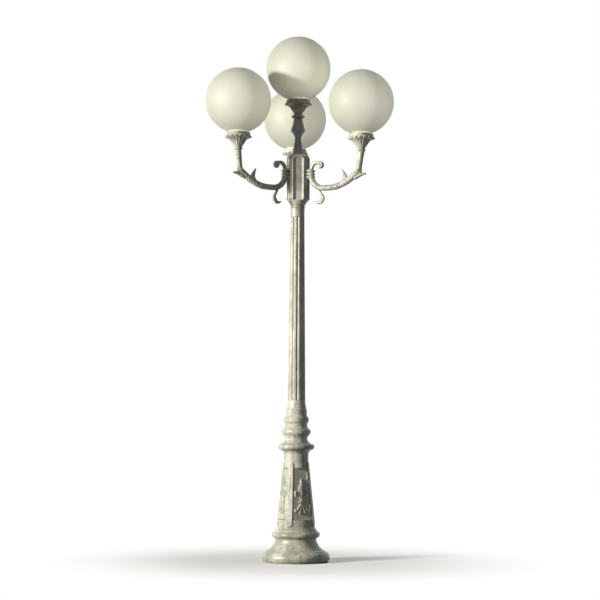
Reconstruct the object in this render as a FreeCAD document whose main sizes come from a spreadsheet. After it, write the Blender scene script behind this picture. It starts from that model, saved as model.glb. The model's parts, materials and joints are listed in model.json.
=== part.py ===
"""Four-globe garden lamp post: pedestal, fluted shaft, hub with three arms, and a central lamp on a baluster.

The post's axis is Z, the ground is Z = 0 and the front, from which the door is seen, is -Y.
Every length is in millimetres. The driving dimensions are in the spreadsheet; the rest is worked out.
"""
import FreeCAD, Part
import math
import os

import Sketcher
from FreeCAD import Placement, Rotation, Vector

os.makedirs("parts", exist_ok=True)
doc = FreeCAD.newDocument("LampPost")
sheet = doc.addObject("Spreadsheet::Sheet", "Dimensions")

DIMENSIONS = {
    # ground casting
    "plinth_radius": 208.0,
    "plinth_foot_radius": 196.0,
    "anchor_circle": 270.0,
    "anchor_hole": 18.0,
    "anchor_flange": 12.0,
    "cable_entry": 50.0,
    # heights above the ground at which each casting starts
    "pedestal_level": 187.0,
    "ring_level": 654.0,
    "neck_level": 750.0,
    "socket_level": 901.0,
    "shaft_level": 977.0,
    "cap_level": 2150.0,
    "bell_level": 2190.0,
    "hub_level": 2223.0,
    "baluster_level": 2505.0,
    "baluster_height": 261.0,
    # pedestal
    "pedestal_foot_radius": 115.2,
    "pedestal_neck_radius": 75.0,
    "pedestal_cone_foot": 214.0,
    "pedestal_cone_top": 604.0,
    "door_azimuth": -68.0,
    "panel_foot": 255.0,
    "panel_top": 572.0,
    "panel_depth_share": 0.84,
    "door_thickness": 4.0,
    # shaft
    "shaft_foot_radius": 54.3,
    "shaft_top_radius": 42.6,
    "shaft_bore": 32.0,
    "spigot_radius": 46.0,
    "flute_count": 12.0,
    "flute_depth": 5.0,
    "flute_radius": 10.5,
    # hub
    "hub_wide_face": 60.0,
    "hub_arm_face": 67.5,
    "hub_bore": 38.0,
    "frame_width": 12.0,
    "frame_depth": 5.0,
    # arms
    "arm_reach": 434.0,
    "stem_radius": 18.0,
    "arm_root_height": 2377.0,
    "arm_root_reach": 95.0,
    "first_curve_radius": 85.0,
    "low_straight": 30.0,
    "sweep_radius": 250.0,
    "sweep_angle": 36.0,
    "outer_straight": 54.0,
    "elbow_radius": 50.0,
    "upright_angle": 82.2,
    "arm_lamp_centre": 2807.0,
    "lead_bore": 6.0,
    "lead_radius": 3.5,
    "lead_offset": 9.0,
    # lamps
    "globe_radius": 200.0,
    "globe_wall": 3.0,
    "globe_neck": 62.0,
    "collar_radius": 75.5,
    "rim_radius": 86.0,
    "cup_drop": 285.0,
}
for row, (alias, value) in enumerate(DIMENSIONS.items(), start=1):
    sheet.set(f"A{row}", alias.replace("_", " "))
    sheet.set(f"B{row}", str(value))
    sheet.setAlias(f"B{row}", alias)
doc.recompute()


class Size(float):
    """A number that also carries the spreadsheet formula it comes from."""

    def __new__(cls, value, formula):
        number = super().__new__(cls, value)
        number.formula = formula
        return number

    def __add__(self, other):
        return Size(float(self) + float(other), f"({self.formula} + {formula_of(other)})")

    def __sub__(self, other):
        return Size(float(self) - float(other), f"({self.formula} - {formula_of(other)})")

    def __mul__(self, other):
        return Size(float(self) * float(other), f"({self.formula} * {formula_of(other)})")

    def __truediv__(self, other):
        return Size(float(self) / float(other), f"({self.formula} / {formula_of(other)})")


def formula_of(number):
    return number.formula if isinstance(number, Size) else f"{float(number):.6g}"


def dim(alias):
    return Size(sheet.get(alias), f"Dimensions.{alias}")


def bind(feature, prop, number):
    """Sets a property to a number and ties it to the spreadsheet if the number comes from there."""
    if isinstance(number, Size):
        feature.setExpression(prop, number.formula)
    else:
        setattr(feature, prop, number)


# ---------------------------------------------------------------- outlines and turned bodies

def arc_middle(start, end, bulge):
    """The middle of an arc from start to end that stands bulge to the right of its chord."""
    along_x = float(end[0]) - float(start[0])
    along_y = float(end[1]) - float(start[1])
    length = math.hypot(along_x, along_y)
    middle_x = (float(start[0]) + float(end[0])) / 2 + along_y / length * bulge
    middle_y = (float(start[1]) + float(end[1])) / 2 - along_x / length * bulge
    return Vector(middle_x, middle_y, 0)


def outline_edges(outline):
    """Lines and arcs round a closed outline: each vertex is (x, y) or (x, y, bulge of the edge to it)."""
    edges = []
    for index, start in enumerate(outline):
        end = outline[(index + 1) % len(outline)]
        first = Vector(float(start[0]), float(start[1]), 0)
        last = Vector(float(end[0]), float(end[1]), 0)
        if len(end) == 3:
            edges.append(Part.Arc(first, arc_middle(start, end, end[2]), last))
        else:
            edges.append(Part.LineSegment(first, last))
    return edges


def origin_plane(body, role):
    for feature in body.Origin.OriginFeatures:
        if feature.Role == role:
            return feature
    raise ValueError(f"the body has no plane {role}")


def hold_vertex(sketch, edge, point, vertex):
    """Holds an edge's end at its place from the sketch's origin, with the spreadsheet's formulas."""
    for kind, value, axis in (("DistanceX", vertex[0], -2), ("DistanceY", vertex[1], -1)):
        if float(value) == 0:
            sketch.addConstraint(Sketcher.Constraint("PointOnObject", edge, point, axis))
        elif float(value) > 0:
            index = sketch.addConstraint(Sketcher.Constraint(kind, -1, 1, edge, point, float(value)))
            if isinstance(value, Size):
                sketch.setExpression(f"Constraints[{index}]", value.formula)
        else:
            sketch.addConstraint(Sketcher.Constraint(kind, edge, point, -1, 1, -float(value)))


def outline_sketch(body, name, outline, role="XZ_Plane"):
    """A closed sketch of an outline on one of the body's own planes."""
    sketch = body.newObject("Sketcher::SketchObject", name)
    sketch.AttachmentSupport = [(origin_plane(body, role), "")]
    sketch.MapMode = "FlatFace"
    for edge in outline_edges(outline):
        sketch.addGeometry(edge)
    count = len(outline)
    following = [outline[(index + 1) % count] for index in range(count)]
    turns_back = [len(end) == 3 and end[2] < 0 for end in following]
    for index in range(count):
        before = (index - 1) % count
        start_point = 2 if turns_back[index] else 1
        end_point = 1 if turns_back[before] else 2
        sketch.addConstraint(Sketcher.Constraint("Coincident", before, end_point, index, start_point))
        hold_vertex(sketch, index, start_point, outline[index])
    return sketch


def turned(label, outline, level=0.0, centre=(0.0, 0.0)):
    """A body of revolution about Z: the outline is (radius, height), and the body stands at level."""
    body = doc.addObject("PartDesign::Body", label)
    sketch = outline_sketch(body, f"{label}_outline", outline)
    turn = body.newObject("PartDesign::Revolution", f"{label}_turned")
    turn.Profile = sketch
    turn.ReferenceAxis = (sketch, ["V_Axis"])
    turn.Angle = 360.0
    body.Placement = Placement(Vector(centre[0], centre[1], float(level)), Rotation())
    if isinstance(level, Size):
        body.setExpression("Placement.Base.z", level.formula)
    doc.recompute()
    return body


def patterned(body, feature, count):
    """Repeats a feature of the body round Z."""
    pattern = body.newObject("PartDesign::PolarPattern", f"{feature.Name}_round")
    pattern.Originals = [feature]
    pattern.Axis = (origin_plane(body, "Z_Axis"), [""])
    pattern.Angle = 360.0
    bind(pattern, "Occurrences", count)
    body.Tip = pattern
    doc.recompute()
    return pattern


def bound(kind, name, placement=None, **sizes):
    """A Part primitive whose sizes are tied to the spreadsheet where they come from it."""
    shape = doc.addObject(f"Part::{kind}", name)
    for prop, number in sizes.items():
        bind(shape, prop, number)
    if placement:
        shape.Placement = placement
    return shape


def solid(label, shape, placement=None):
    """A free-form piece: its shape is worked out here from the spreadsheet's sizes."""
    piece = doc.addObject("Part::Feature", label)
    piece.Shape = shape
    if placement:
        piece.Placement = placement.multiply(shape.Placement)
    return piece


def slab(outline, thickness, offset=0.0):
    """A plate with the outline in XY, from Z = offset upwards."""
    wire = Part.Wire([edge.toShape() for edge in outline_edges(outline)])
    plate = Part.Face(wire).extrude(Vector(0, 0, thickness))
    plate.translate(Vector(0, 0, offset))
    return plate


def rod(start, end, radius):
    """A round bar between two points."""
    along = Vector(*end) - Vector(*start)
    return Part.makeCylinder(radius, along.Length, Vector(*start), along)


def placed(shape, placement):
    """Puts a shape that was drawn in a local frame into the frame that a placement stands for."""
    shape.Placement = placement.multiply(shape.Placement)
    return shape


def joined(shapes):
    return shapes[0].multiFuse(shapes[1:]).removeSplitter() if len(shapes) > 1 else shapes[0]


def turn_about_axis(azimuth):
    """Stands a piece that was drawn along +X at an azimuth round the post."""
    return Placement(Vector(), Rotation(Vector(0, 0, 1), azimuth))


parts = {}

# ---------------------------------------------------------------- ground casting

def ground_casting():
    """Torus foot, cove and bead, hollow, with the flange that the anchor bolts hold inside."""
    foot = dim("plinth_foot_radius")
    flange = dim("anchor_flange")
    height = dim("pedestal_level")
    body = turned("base_plinth", [
        (dim("cable_entry"), 0.0),
        (foot, 0.0),
        (dim("plinth_radius") - 23.0, 62.0, 17.5),
        (178.0, 68.5),
        (160.5, 77.5, -2.0),
        (127.0, 133.0, -6.0),
        (127.5, 142.0),
        (131.0, 146.5),
        (133.0, 183.5, 15.5),
        (131.5, height),
        (122.0, height),
        (117.0, 140.0),
        (117.0, 128.0),
        (144.0, 74.0),
        (166.0, 52.0),
        (180.0, 30.0),
        (180.0, flange),
        (dim("cable_entry"), flange),
    ])
    holes = body.newObject("Sketcher::SketchObject", "anchor_hole_outline")
    holes.AttachmentSupport = [(origin_plane(body, "XY_Plane"), "")]
    holes.MapMode = "FlatFace"
    reach = dim("anchor_circle") / 2.0
    holes.addGeometry(Part.Circle(Vector(float(reach), 0, 0), Vector(0, 0, 1), float(dim("anchor_hole")) / 2))
    holes.addConstraint(Sketcher.Constraint("PointOnObject", 0, 3, -1))
    across = holes.addConstraint(Sketcher.Constraint("DistanceX", -1, 1, 0, 3, float(reach)))
    holes.setExpression(f"Constraints[{across}]", reach.formula)
    radius = holes.addConstraint(Sketcher.Constraint("Radius", 0, float(dim("anchor_hole")) / 2))
    holes.setExpression(f"Constraints[{radius}]", (dim("anchor_hole") / 2.0).formula)
    doc.recompute()
    before = body.Shape.Volume
    pocket = body.newObject("PartDesign::Pocket", "anchor_hole")
    pocket.Profile = holes
    pocket.Reversed = True
    bind(pocket, "Length", flange)
    patterned(body, pocket, 4)
    if body.Shape.Volume >= before:
        raise ValueError("the anchor holes cut nothing")
    return body


parts["base_plinth"] = ground_casting()


# ---------------------------------------------------------------- pedestal and its access door

CONE_SLOPE = ((dim("pedestal_foot_radius") - dim("pedestal_neck_radius"))
              / (dim("pedestal_cone_top") - dim("pedestal_cone_foot")))
PANEL_COUNT = 4
INNER_FOOT_RADIUS = 86.0
INNER_HEAD_RADIUS = 55.0
INNER_FOOT = float(dim("pedestal_level")) + 30.0
INNER_HEAD = float(dim("pedestal_level")) + 400.0
LEDGE = 6.0
DOOR_GAP = 1.0
SEAT_GAP = 0.3
KNUCKLE_RADIUS = 4.0
KNUCKLE_LENGTH = 14.0
KNUCKLE_RELIEF = 0.5
PIN_RADIUS = 2.0
PIN_CLEARANCE = 0.05
RELIEF_HEIGHT = 8.0


def cone_radius(height):
    """The pedestal's outer radius at a height above the ground."""
    return float(dim("pedestal_neck_radius")) + (float(dim("pedestal_cone_top")) - height) * float(CONE_SLOPE)


def inner_radius(height):
    """The radius of the pedestal's hollow at a height above the ground."""
    share = (height - INNER_FOOT) / (INNER_HEAD - INNER_FOOT)
    return INNER_FOOT_RADIUS + (INNER_HEAD_RADIUS - INNER_FOOT_RADIUS) * share


PANEL_SHARE = float(dim("panel_depth_share"))
PANEL_FOOT = float(dim("panel_foot"))
PANEL_LENGTH = (float(dim("panel_top")) - PANEL_FOOT) / math.cos(math.atan(PANEL_SHARE * float(CONE_SLOPE)))
PANEL_LEAN = math.degrees(math.atan(PANEL_SHARE * float(CONE_SLOPE)))


def panel_half_width(along):
    """Half the width of the flat panel at a distance up its face."""
    height = PANEL_FOOT + along * math.cos(math.radians(PANEL_LEAN))
    return cone_radius(height) * math.sqrt(1 - PANEL_SHARE ** 2)


def panel_frame(azimuth):
    """Stands a piece drawn flat (X right, Y up the panel, Z outwards) on the panel at an azimuth."""
    stand = Rotation(Vector(0, 0, 1), azimuth + 90) * Rotation(Vector(1, 0, 0), 90 - PANEL_LEAN)
    middle = Vector(PANEL_SHARE * cone_radius(PANEL_FOOT), 0, PANEL_FOOT)
    foot = Rotation(Vector(0, 0, 1), azimuth).multVec(middle)
    return Placement(foot, stand)


def panel_outline(inset, low, high):
    """The panel's tapering outline, drawn in by inset at its sides, from low to high."""
    return [
        (-panel_half_width(low) + inset, low),
        (panel_half_width(low) - inset, low),
        (panel_half_width(high) - inset, high),
        (-panel_half_width(high) + inset, high),
    ]


DOOR_INSET = 3.0
HINGE_INSET = DOOR_INSET - 0.5
HINGE_FOOT = Vector(panel_half_width(0.0) - HINGE_INSET, 0, 0)
HINGE_HEAD = Vector(panel_half_width(PANEL_LENGTH) - HINGE_INSET, PANEL_LENGTH, 0)
HINGE_LINE = (HINGE_HEAD - HINGE_FOOT).normalize()
HINGE_PLACES = (62.0, 250.0)
LOCK_PLACE = Vector(-panel_half_width(20.0) + 19.0, 20.0, 0)
LOCK_RADIUS = 6.0
TONGUE_REACH = 22.0
TONGUE_DEPTH = float(dim("door_thickness")) + 7.0
TONGUE_THICKNESS = 3.0
TONGUE_CLEARANCE = 1.0


def along_hinge(distance):
    return HINGE_FOOT + HINGE_LINE * distance


def hinge_barrel(start, length, radius):
    return Part.makeCylinder(radius, length, along_hinge(start), HINGE_LINE)


def raised_bar():
    """The tapering bar with round ends that stands between two panels, drawn along +X."""
    foot_width = 19.5
    head_width = 12.5
    foot_height = 234.0
    head_height = 597.0
    rise = head_height - foot_height
    outline = [
        (-foot_width, 0.0),
        (foot_width, 0.0, foot_width),
        (head_width, rise),
        (-head_width, rise, head_width),
    ]
    proud = 5.0
    depth = 14.0
    bar = slab(outline, depth + proud, -depth)
    rim = [edge for edge in bar.Edges if edge.BoundBox.ZMin > proud - 0.1]
    bar = bar.makeFillet(3.5, rim)
    lean = math.degrees(math.atan(float(CONE_SLOPE)))
    stand = Rotation(Vector(0, 0, 1), 90) * Rotation(Vector(1, 0, 0), 90 - lean)
    return placed(bar, Placement(Vector(cone_radius(foot_height), 0, foot_height), stand))


def pedestal_blank():
    """The turned casting before its panels, door and bars, in its own frame."""
    foot = dim("pedestal_foot_radius")
    neck = dim("pedestal_neck_radius")
    level = dim("pedestal_level")
    return turned("pedestal_blank", [
        (110.0, 0.0),
        (131.5, 0.0),
        (foot, dim("pedestal_cone_foot") - level, -1.0),
        (neck, dim("pedestal_cone_top") - level),
        (neck, dim("ring_level") - level),
        (INNER_HEAD_RADIUS, dim("ring_level") - level),
        (INNER_HEAD_RADIUS, INNER_HEAD - float(level)),
        (INNER_FOOT_RADIUS, INNER_FOOT - float(level)),
    ], level)


def pedestal():
    """Tapered casting with four flat panels between raised bars, and the door's opening and hinge lugs."""
    blank = pedestal_blank()
    shape = blank.Shape.copy()
    azimuth = float(dim("door_azimuth"))
    step = 360.0 / PANEL_COUNT
    for index in range(PANEL_COUNT):
        outside = Part.makeBox(200, PANEL_LENGTH, 60, Vector(-100, 0, 0))
        shape = shape.cut(placed(outside, panel_frame(azimuth + index * step)))
    bars = []
    for index in range(PANEL_COUNT):
        bar = raised_bar()
        bar.rotate(Vector(), Vector(0, 0, 1), azimuth + (index + 0.5) * step)
        bars.append(bar)
    inner = Part.makeCone(INNER_FOOT_RADIUS, INNER_HEAD_RADIUS, INNER_HEAD - INNER_FOOT)
    inner.translate(Vector(0, 0, INNER_FOOT))
    shape = shape.multiFuse([bar.cut(inner) for bar in bars])
    thickness = float(dim("door_thickness"))
    frame = panel_frame(azimuth)
    seat = slab(panel_outline(DOOR_INSET - DOOR_GAP, DOOR_GAP, PANEL_LENGTH - DOOR_GAP),
                thickness + SEAT_GAP + 20.0, -thickness - SEAT_GAP)
    opening = slab(panel_outline(DOOR_INSET + LEDGE, LEDGE + 2, PANEL_LENGTH - LEDGE - 2), 60.0, -50.0)
    lugs = []
    reliefs = []
    bores = []
    for place in HINGE_PLACES:
        middle_low = place + KNUCKLE_LENGTH
        for start in (place, middle_low + KNUCKLE_LENGTH):
            lugs.append(hinge_barrel(start, KNUCKLE_LENGTH - KNUCKLE_RELIEF, KNUCKLE_RADIUS))
        reliefs.append(hinge_barrel(middle_low - KNUCKLE_RELIEF, KNUCKLE_LENGTH + KNUCKLE_RELIEF,
                                    KNUCKLE_RADIUS + KNUCKLE_RELIEF))
        bores.append(hinge_barrel(place - 1, 3 * KNUCKLE_LENGTH + 2, PIN_RADIUS))
    tongue_sweep = Part.makeCylinder(TONGUE_REACH + TONGUE_CLEARANCE, TONGUE_THICKNESS + 2 * TONGUE_CLEARANCE)
    tongue_sweep.translate(LOCK_PLACE - Vector(0, 0, TONGUE_DEPTH + TONGUE_THICKNESS + TONGUE_CLEARANCE))
    for tool in [seat, opening, tongue_sweep, *lugs, *reliefs, *bores]:
        placed(tool, frame)
    shape = shape.cut([seat, opening, tongue_sweep]).multiFuse(lugs).cut(reliefs).cut(bores)
    return solid("pedestal", shape)


def access_door():
    """Flat tapering plate with its two hinge knuckles and the hole for its lock."""
    thickness = float(dim("door_thickness"))
    plate = slab(panel_outline(DOOR_INSET, 2 * DOOR_GAP, PANEL_LENGTH - 2 * DOOR_GAP), thickness, -thickness)
    clearances = []
    knuckles = []
    bores = []
    for place in HINGE_PLACES:
        middle_low = place + KNUCKLE_LENGTH
        for start in (place, middle_low + KNUCKLE_LENGTH):
            clearances.append(hinge_barrel(start - KNUCKLE_RELIEF, KNUCKLE_LENGTH + KNUCKLE_RELIEF,
                                           KNUCKLE_RADIUS + KNUCKLE_RELIEF))
        knuckle_length = KNUCKLE_LENGTH - 2 * KNUCKLE_RELIEF
        knuckles.append(hinge_barrel(middle_low + KNUCKLE_RELIEF, knuckle_length, KNUCKLE_RADIUS))
        bores.append(hinge_barrel(place - 1, 3 * KNUCKLE_LENGTH + 2, PIN_RADIUS + PIN_CLEARANCE))
    lock_hole = Part.makeCylinder(LOCK_RADIUS + PIN_CLEARANCE, 20, LOCK_PLACE - Vector(0, 0, 10))
    shape = plate.cut(clearances).multiFuse(knuckles).cut([*bores, lock_hole])
    return solid("access_door", shape, panel_frame(float(dim("door_azimuth"))))


def door_fittings():
    """The hinge pins, and the quarter-turn lock with its tongue."""
    frame = panel_frame(float(dim("door_azimuth")))
    pins = [hinge_barrel(place - 1, 3 * KNUCKLE_LENGTH + 1, PIN_RADIUS) for place in HINGE_PLACES]
    parts["hinge_pins"] = solid("hinge_pins", Part.makeCompound(pins), frame)
    head = Part.makeCylinder(LOCK_RADIUS, TONGUE_DEPTH + 1.0, LOCK_PLACE - Vector(0, 0, TONGUE_DEPTH))
    key = Part.makeCylinder(3.0, 3.0, LOCK_PLACE - Vector(0, 0, 2.0), Vector(0, 0, 1))
    parts["door_lock"] = solid("door_lock", head.cut(key), frame)
    half_width = LOCK_RADIUS
    straight = TONGUE_REACH - half_width
    tongue = slab([
        (-half_width, -half_width),
        (half_width, -half_width),
        (half_width, straight),
        (-half_width, straight, half_width),
    ], TONGUE_THICKNESS)
    tongue.translate(LOCK_PLACE - Vector(0, 0, TONGUE_DEPTH + TONGUE_THICKNESS))
    parts["door_lock_tongue"] = solid("door_lock_tongue", tongue, frame)


def fleur_de_lis():
    """Relief of a lily flower, drawn flat round its band at the origin."""
    def lens(tip_x, tip_y, root_x, root_y, bulge):
        return [(root_x, root_y, bulge), (tip_x, tip_y, bulge)]

    side_petal = [
        (3.0, 4.0),
        (20.0, 70.0, -6.0),
        (44.0, 58.0, -9.0),
        (38.0, 48.0),
        (27.0, 52.0, 6.0),
        (12.0, 4.0, 4.0),
    ]
    outlines = [lens(0.0, 144.0, 0.0, 0.0, 17.0), side_petal]
    outlines.append([(-x, y, -bulge[0]) if bulge else (-x, y) for x, y, *bulge in side_petal])
    outlines += [lens(side * 42.0, -66.0, 0.0, -2.0, 6.0) for side in (-1, 1)]
    outlines += [lens(side * 14.0, -72.0, 0.0, -2.0, 6.0) for side in (-1, 1)]
    outlines.append([(-18.0, -6.0), (18.0, -6.0), (18.0, 6.0, 4.0), (-18.0, 6.0)])
    pieces = [slab(outline, RELIEF_HEIGHT) for outline in outlines]
    pieces += [Part.makeCylinder(8.0, RELIEF_HEIGHT, Vector(side * 39.0, 55.0, 0)) for side in (-1, 1)]
    return joined(pieces)


def ornaments():
    """One lily on the door and one on each of the other three panels."""
    band_height = 111.0
    azimuth = float(dim("door_azimuth"))
    flower = fleur_de_lis()
    flower.translate(Vector(0, band_height, 0))
    parts["door_ornament"] = solid("door_ornament", flower, panel_frame(azimuth))
    others = []
    for index in range(1, PANEL_COUNT):
        others.append(placed(flower.copy(), panel_frame(azimuth + index * 360.0 / PANEL_COUNT)))
    parts["panel_ornaments"] = solid("panel_ornaments", Part.makeCompound(others))


parts["pedestal"] = pedestal()
parts["access_door"] = access_door()
door_fittings()
ornaments()


# ---------------------------------------------------------------- where arms, leads and screws lie

ARM_AZIMUTHS = {"right": -30.0, "rear": 90.0, "left": 210.0}
ROOT_HEIGHT = float(dim("arm_root_height"))
ROOT_REACH = float(dim("arm_root_reach"))
LEAD_BEND = 25.0
LEAD_HEIGHT = ROOT_HEIGHT + LEAD_BEND
BOLT_HEIGHTS = (ROOT_HEIGHT - 14.0, ROOT_HEIGHT + 6.0)
BOLT_RADIUS = 5.0
BOLT_REACH = 82.0
GRUB_SCREWS = 3
GRUB_RADIUS = 4.0
GRUB_HEIGHT = float(dim("socket_level")) + 22.0
ARM_FACE = float(dim("hub_arm_face"))
WIDE_FACE = float(dim("hub_wide_face"))
PANEL_FLOOR = ARM_FACE - float(dim("frame_depth"))
FACE_GAP = 0.5
CUP_LEVEL = float(dim("arm_lamp_centre")) - float(dim("cup_drop"))
TOP_CUP_LEVEL = float(dim("baluster_level")) + float(dim("baluster_height"))
CUP_FLOOR = 18.0
HOLDER_HEIGHT = 75.0
SOCKET_DEPTH = 25.0
SCREW_RISE = 80.0
SCREWS_PER_CUP = 3
SCREW_RADIUS = 3.0
FUSE_BOX_HEAD = 480.0
FUSE_BOX_WALL = 3.0
EARTH_BOLT_HEIGHT = 298.0


# ---------------------------------------------------------------- what the pedestal holds

def pedestal_equipment():
    """Mounting board on two studs, fuse box with its cover, and the earth bolt, all facing the door."""
    azimuth = float(dim("door_azimuth"))
    board_half_width = 36.0
    board_low = 280.0
    board_high = 500.0
    board_back = -36.0
    board_front = -31.0
    box_half_width = 32.0
    box_low = 320.0
    box_high = FUSE_BOX_HEAD
    box_front = 17.0
    cover_front = 21.0
    stud_radius = 5.0

    def brick(back, front, half_width, low, high):
        return Part.makeBox(front - back, 2 * half_width, high - low, Vector(back, -half_width, low))

    stand = turn_about_axis(azimuth)
    board = brick(board_back, board_front, board_half_width, board_low, board_high)
    bolt_place = Vector(board_back - 1, 0, EARTH_BOLT_HEIGHT)
    bolt_hole = Part.makeCylinder(4.0, 20, bolt_place, Vector(1, 0, 0))
    parts["mounting_board"] = solid("mounting_board", board.cut(bolt_hole), stand)
    studs = []
    for height in (306.0, 480.0):
        studs.append(rod((-inner_radius(height) - 4.0, 0, height), (board_back, 0, height), stud_radius))
    parts["board_studs"] = solid("board_studs", Part.makeCompound(studs), stand)
    case = brick(board_front, box_front, box_half_width, box_low, box_high)
    hollow = brick(board_front + FUSE_BOX_WALL, box_front + 1, box_half_width - FUSE_BOX_WALL,
                   box_low + FUSE_BOX_WALL, box_high - FUSE_BOX_WALL)
    entries = [rod((0, 0, box_high - 10), (0, 0, box_high + 10), float(dim("lead_radius")))]
    for arm_azimuth in ARM_AZIMUTHS.values():
        offset = float(dim("lead_offset"))
        entry = rod((offset, 0, box_high - 10), (offset, 0, box_high + 10), float(dim("lead_radius")))
        entry.rotate(Vector(), Vector(0, 0, 1), arm_azimuth - azimuth)
        entries.append(entry)
    parts["fuse_box"] = solid("fuse_box", case.cut(hollow).cut(entries), stand)
    cover = brick(box_front, cover_front, box_half_width, box_low, box_high)
    parts["fuse_box_cover"] = solid("fuse_box_cover", cover, stand)
    fuse = brick(-20.0, 2.0, 9.0, 350.0, 420.0)
    carriers = []
    for side in (-1, 1):
        carrier = fuse.copy()
        carrier.translate(Vector(0, side * 14.0, 0))
        carriers.append(carrier)
    rail = brick(board_front + FUSE_BOX_WALL, -20.0, 27.0, 375.0, 395.0)
    parts["fuse_carriers"] = solid("fuse_carriers", Part.makeCompound(carriers), stand)
    parts["fuse_rail"] = solid("fuse_rail", rail, stand)
    bolt = Part.makeCylinder(4.0, 26, Vector(board_back, 0, EARTH_BOLT_HEIGHT), Vector(1, 0, 0))
    nut_corners = [Rotation(Vector(0, 0, 1), 60 * index).multVec(Vector(7.5, 0, 0)) for index in range(6)]
    nut = slab([(corner.x, corner.y) for corner in nut_corners], 6.5)
    placed(nut, Placement(Vector(board_front, 0, EARTH_BOLT_HEIGHT), Rotation(Vector(0, 1, 0), 90)))
    parts["earth_bolt"] = solid("earth_bolt", bolt.fuse(nut), stand)


# ---------------------------------------------------------------- mouldings and shaft

def ring_collar():
    """The large ring over the pedestal's neck, with a cove below and above it."""
    neck = dim("pedestal_neck_radius")
    return turned("ring_collar", [
        (INNER_HEAD_RADIUS, 0.0),
        (neck, 0.0),
        (94.0, 27.0, -5.0),
        (104.0, 32.0),
        (102.0, 62.0, 8.5),
        (67.5, 93.0, -7.0),
        (67.5, 96.0),
        (50.0, 96.0),
        (50.0, 85.0),
    ], dim("ring_level"))


def neck_collar():
    """Second ring and the band above it."""
    return turned("neck_collar", [
        (50.0, 0.0),
        (67.5, 0.0),
        (84.0, 28.0, -3.0),
        (86.0, 54.0, 3.5),
        (67.0, 78.0, -3.0),
        (67.0, 87.0),
        (73.5, 102.0, -1.0),
        (75.8, 107.0),
        (75.8, 128.0),
        (64.0, 146.0, -1.5),
        (64.0, 151.0),
        (46.0, 151.0),
        (46.0, 100.0),
    ], dim("neck_level"))


def shaft_socket():
    """Stepped socket that the shaft's spigot stands in, with holes for its three grub screws."""
    spigot = dim("spigot_radius")
    ledge = 12.0
    height = dim("shaft_level") - dim("socket_level")
    body = turned("socket_blank", [
        (36.0, 0.0),
        (64.0, 0.0),
        (64.0, 28.0),
        (59.3, 38.0, -1.5),
        (58.4, 46.0),
        (56.0, 62.0),
        (dim("shaft_foot_radius"), height),
        (spigot, height),
        (spigot, ledge),
        (36.0, ledge),
    ], dim("socket_level"))
    shape = body.Shape.copy()
    holes = []
    screws = []
    for index in range(GRUB_SCREWS):
        hole = rod((40.0, 0, GRUB_HEIGHT), (70.0, 0, GRUB_HEIGHT), GRUB_RADIUS)
        screw = rod((float(spigot), 0, GRUB_HEIGHT), (63.5, 0, GRUB_HEIGHT), GRUB_RADIUS)
        for piece, group in ((hole, holes), (screw, screws)):
            piece.rotate(Vector(), Vector(0, 0, 1), 30.0 + index * 360.0 / GRUB_SCREWS)
            group.append(piece)
    parts["shaft_grub_screws"] = solid("shaft_grub_screws", Part.makeCompound(screws))
    return solid("shaft_socket", shape.cut(holes))


def fluted_shaft():
    """Tapered tube with a spigot at its foot and flutes with round ends all round."""
    foot = dim("shaft_foot_radius")
    top = dim("shaft_top_radius")
    bore = dim("shaft_bore")
    length = dim("cap_level") - dim("shaft_level")
    spigot_length = 63.5
    body = turned("fluted_shaft", [
        (bore, -spigot_length),
        (dim("spigot_radius"), -spigot_length),
        (dim("spigot_radius"), 0.0),
        (foot, 0.0),
        (top, length),
        (bore, length),
    ], dim("shaft_level"))
    flute = dim("flute_radius")
    shift = float(flute - dim("flute_depth"))
    low = 10.0
    high = float(length) - 30.0
    slope = (float(foot) - float(top)) / float(length)

    def on_axis(height):
        return (float(foot) - slope * height + shift, height)

    axis_low = on_axis(low)
    axis_high = on_axis(high)
    lean = math.atan(slope)
    side_x = float(flute) * math.cos(lean)
    side_y = float(flute) * math.sin(lean)
    round_end = float(flute) * 0.2929
    sketch = body.newObject("Sketcher::SketchObject", "flute_outline")
    sketch.AttachmentSupport = [(origin_plane(body, "XZ_Plane"), "")]
    sketch.MapMode = "FlatFace"
    tip_low = (axis_low[0] + side_y, axis_low[1] - side_x)
    tip_high = (axis_high[0] - side_y, axis_high[1] + side_x)
    outline = [
        tip_high,
        (axis_high[0] - side_x, axis_high[1] - side_y, -round_end),
        (axis_low[0] - side_x, axis_low[1] - side_y),
        (tip_low[0], tip_low[1], -round_end),
    ]
    for edge in outline_edges(outline):
        sketch.addGeometry(edge)
    axis = sketch.addGeometry(Part.LineSegment(Vector(*tip_low, 0), Vector(*tip_high, 0)), True)
    if axis != len(outline):
        raise ValueError("the flute's axis isn't where it is looked for")
    doc.recompute()
    before = body.Shape.Volume
    groove = body.newObject("PartDesign::Groove", "flute")
    groove.Profile = sketch
    groove.ReferenceAxis = (sketch, ["Axis0"])
    groove.Angle = 360.0
    doc.recompute()
    patterned(body, groove, dim("flute_count"))
    if body.Shape.Volume >= before:
        raise ValueError("the flutes cut nothing")
    return body


def cap_ring():
    """Plain band with two beads above it, which closes the shaft's top."""
    return turned("shaft_cap_ring", [
        (dim("shaft_bore"), 0.0),
        (43.4, 0.0),
        (43.4, 19.0),
        (42.0, 21.0),
        (42.0, 25.0),
        (43.0, 26.0),
        (43.0, 32.0, 2.4),
        (43.0, 39.0, 2.6),
        (42.5, 40.0),
        (dim("shaft_bore"), 40.0),
    ], dim("cap_level"))


def hub_bell():
    """The bowl under the hub."""
    return turned("hub_bell", [
        (dim("shaft_bore"), 0.0),
        (42.5, 0.0),
        (44.5, 4.0),
        (52.0, 16.0, 2.0),
        (62.0, 30.0, 1.5),
        (64.0, 33.0),
        (dim("hub_bore"), 33.0),
        (dim("shaft_bore"), 25.0),
    ], dim("bell_level"))


# ---------------------------------------------------------------- hub

FACE_STEP = 60.0


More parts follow.
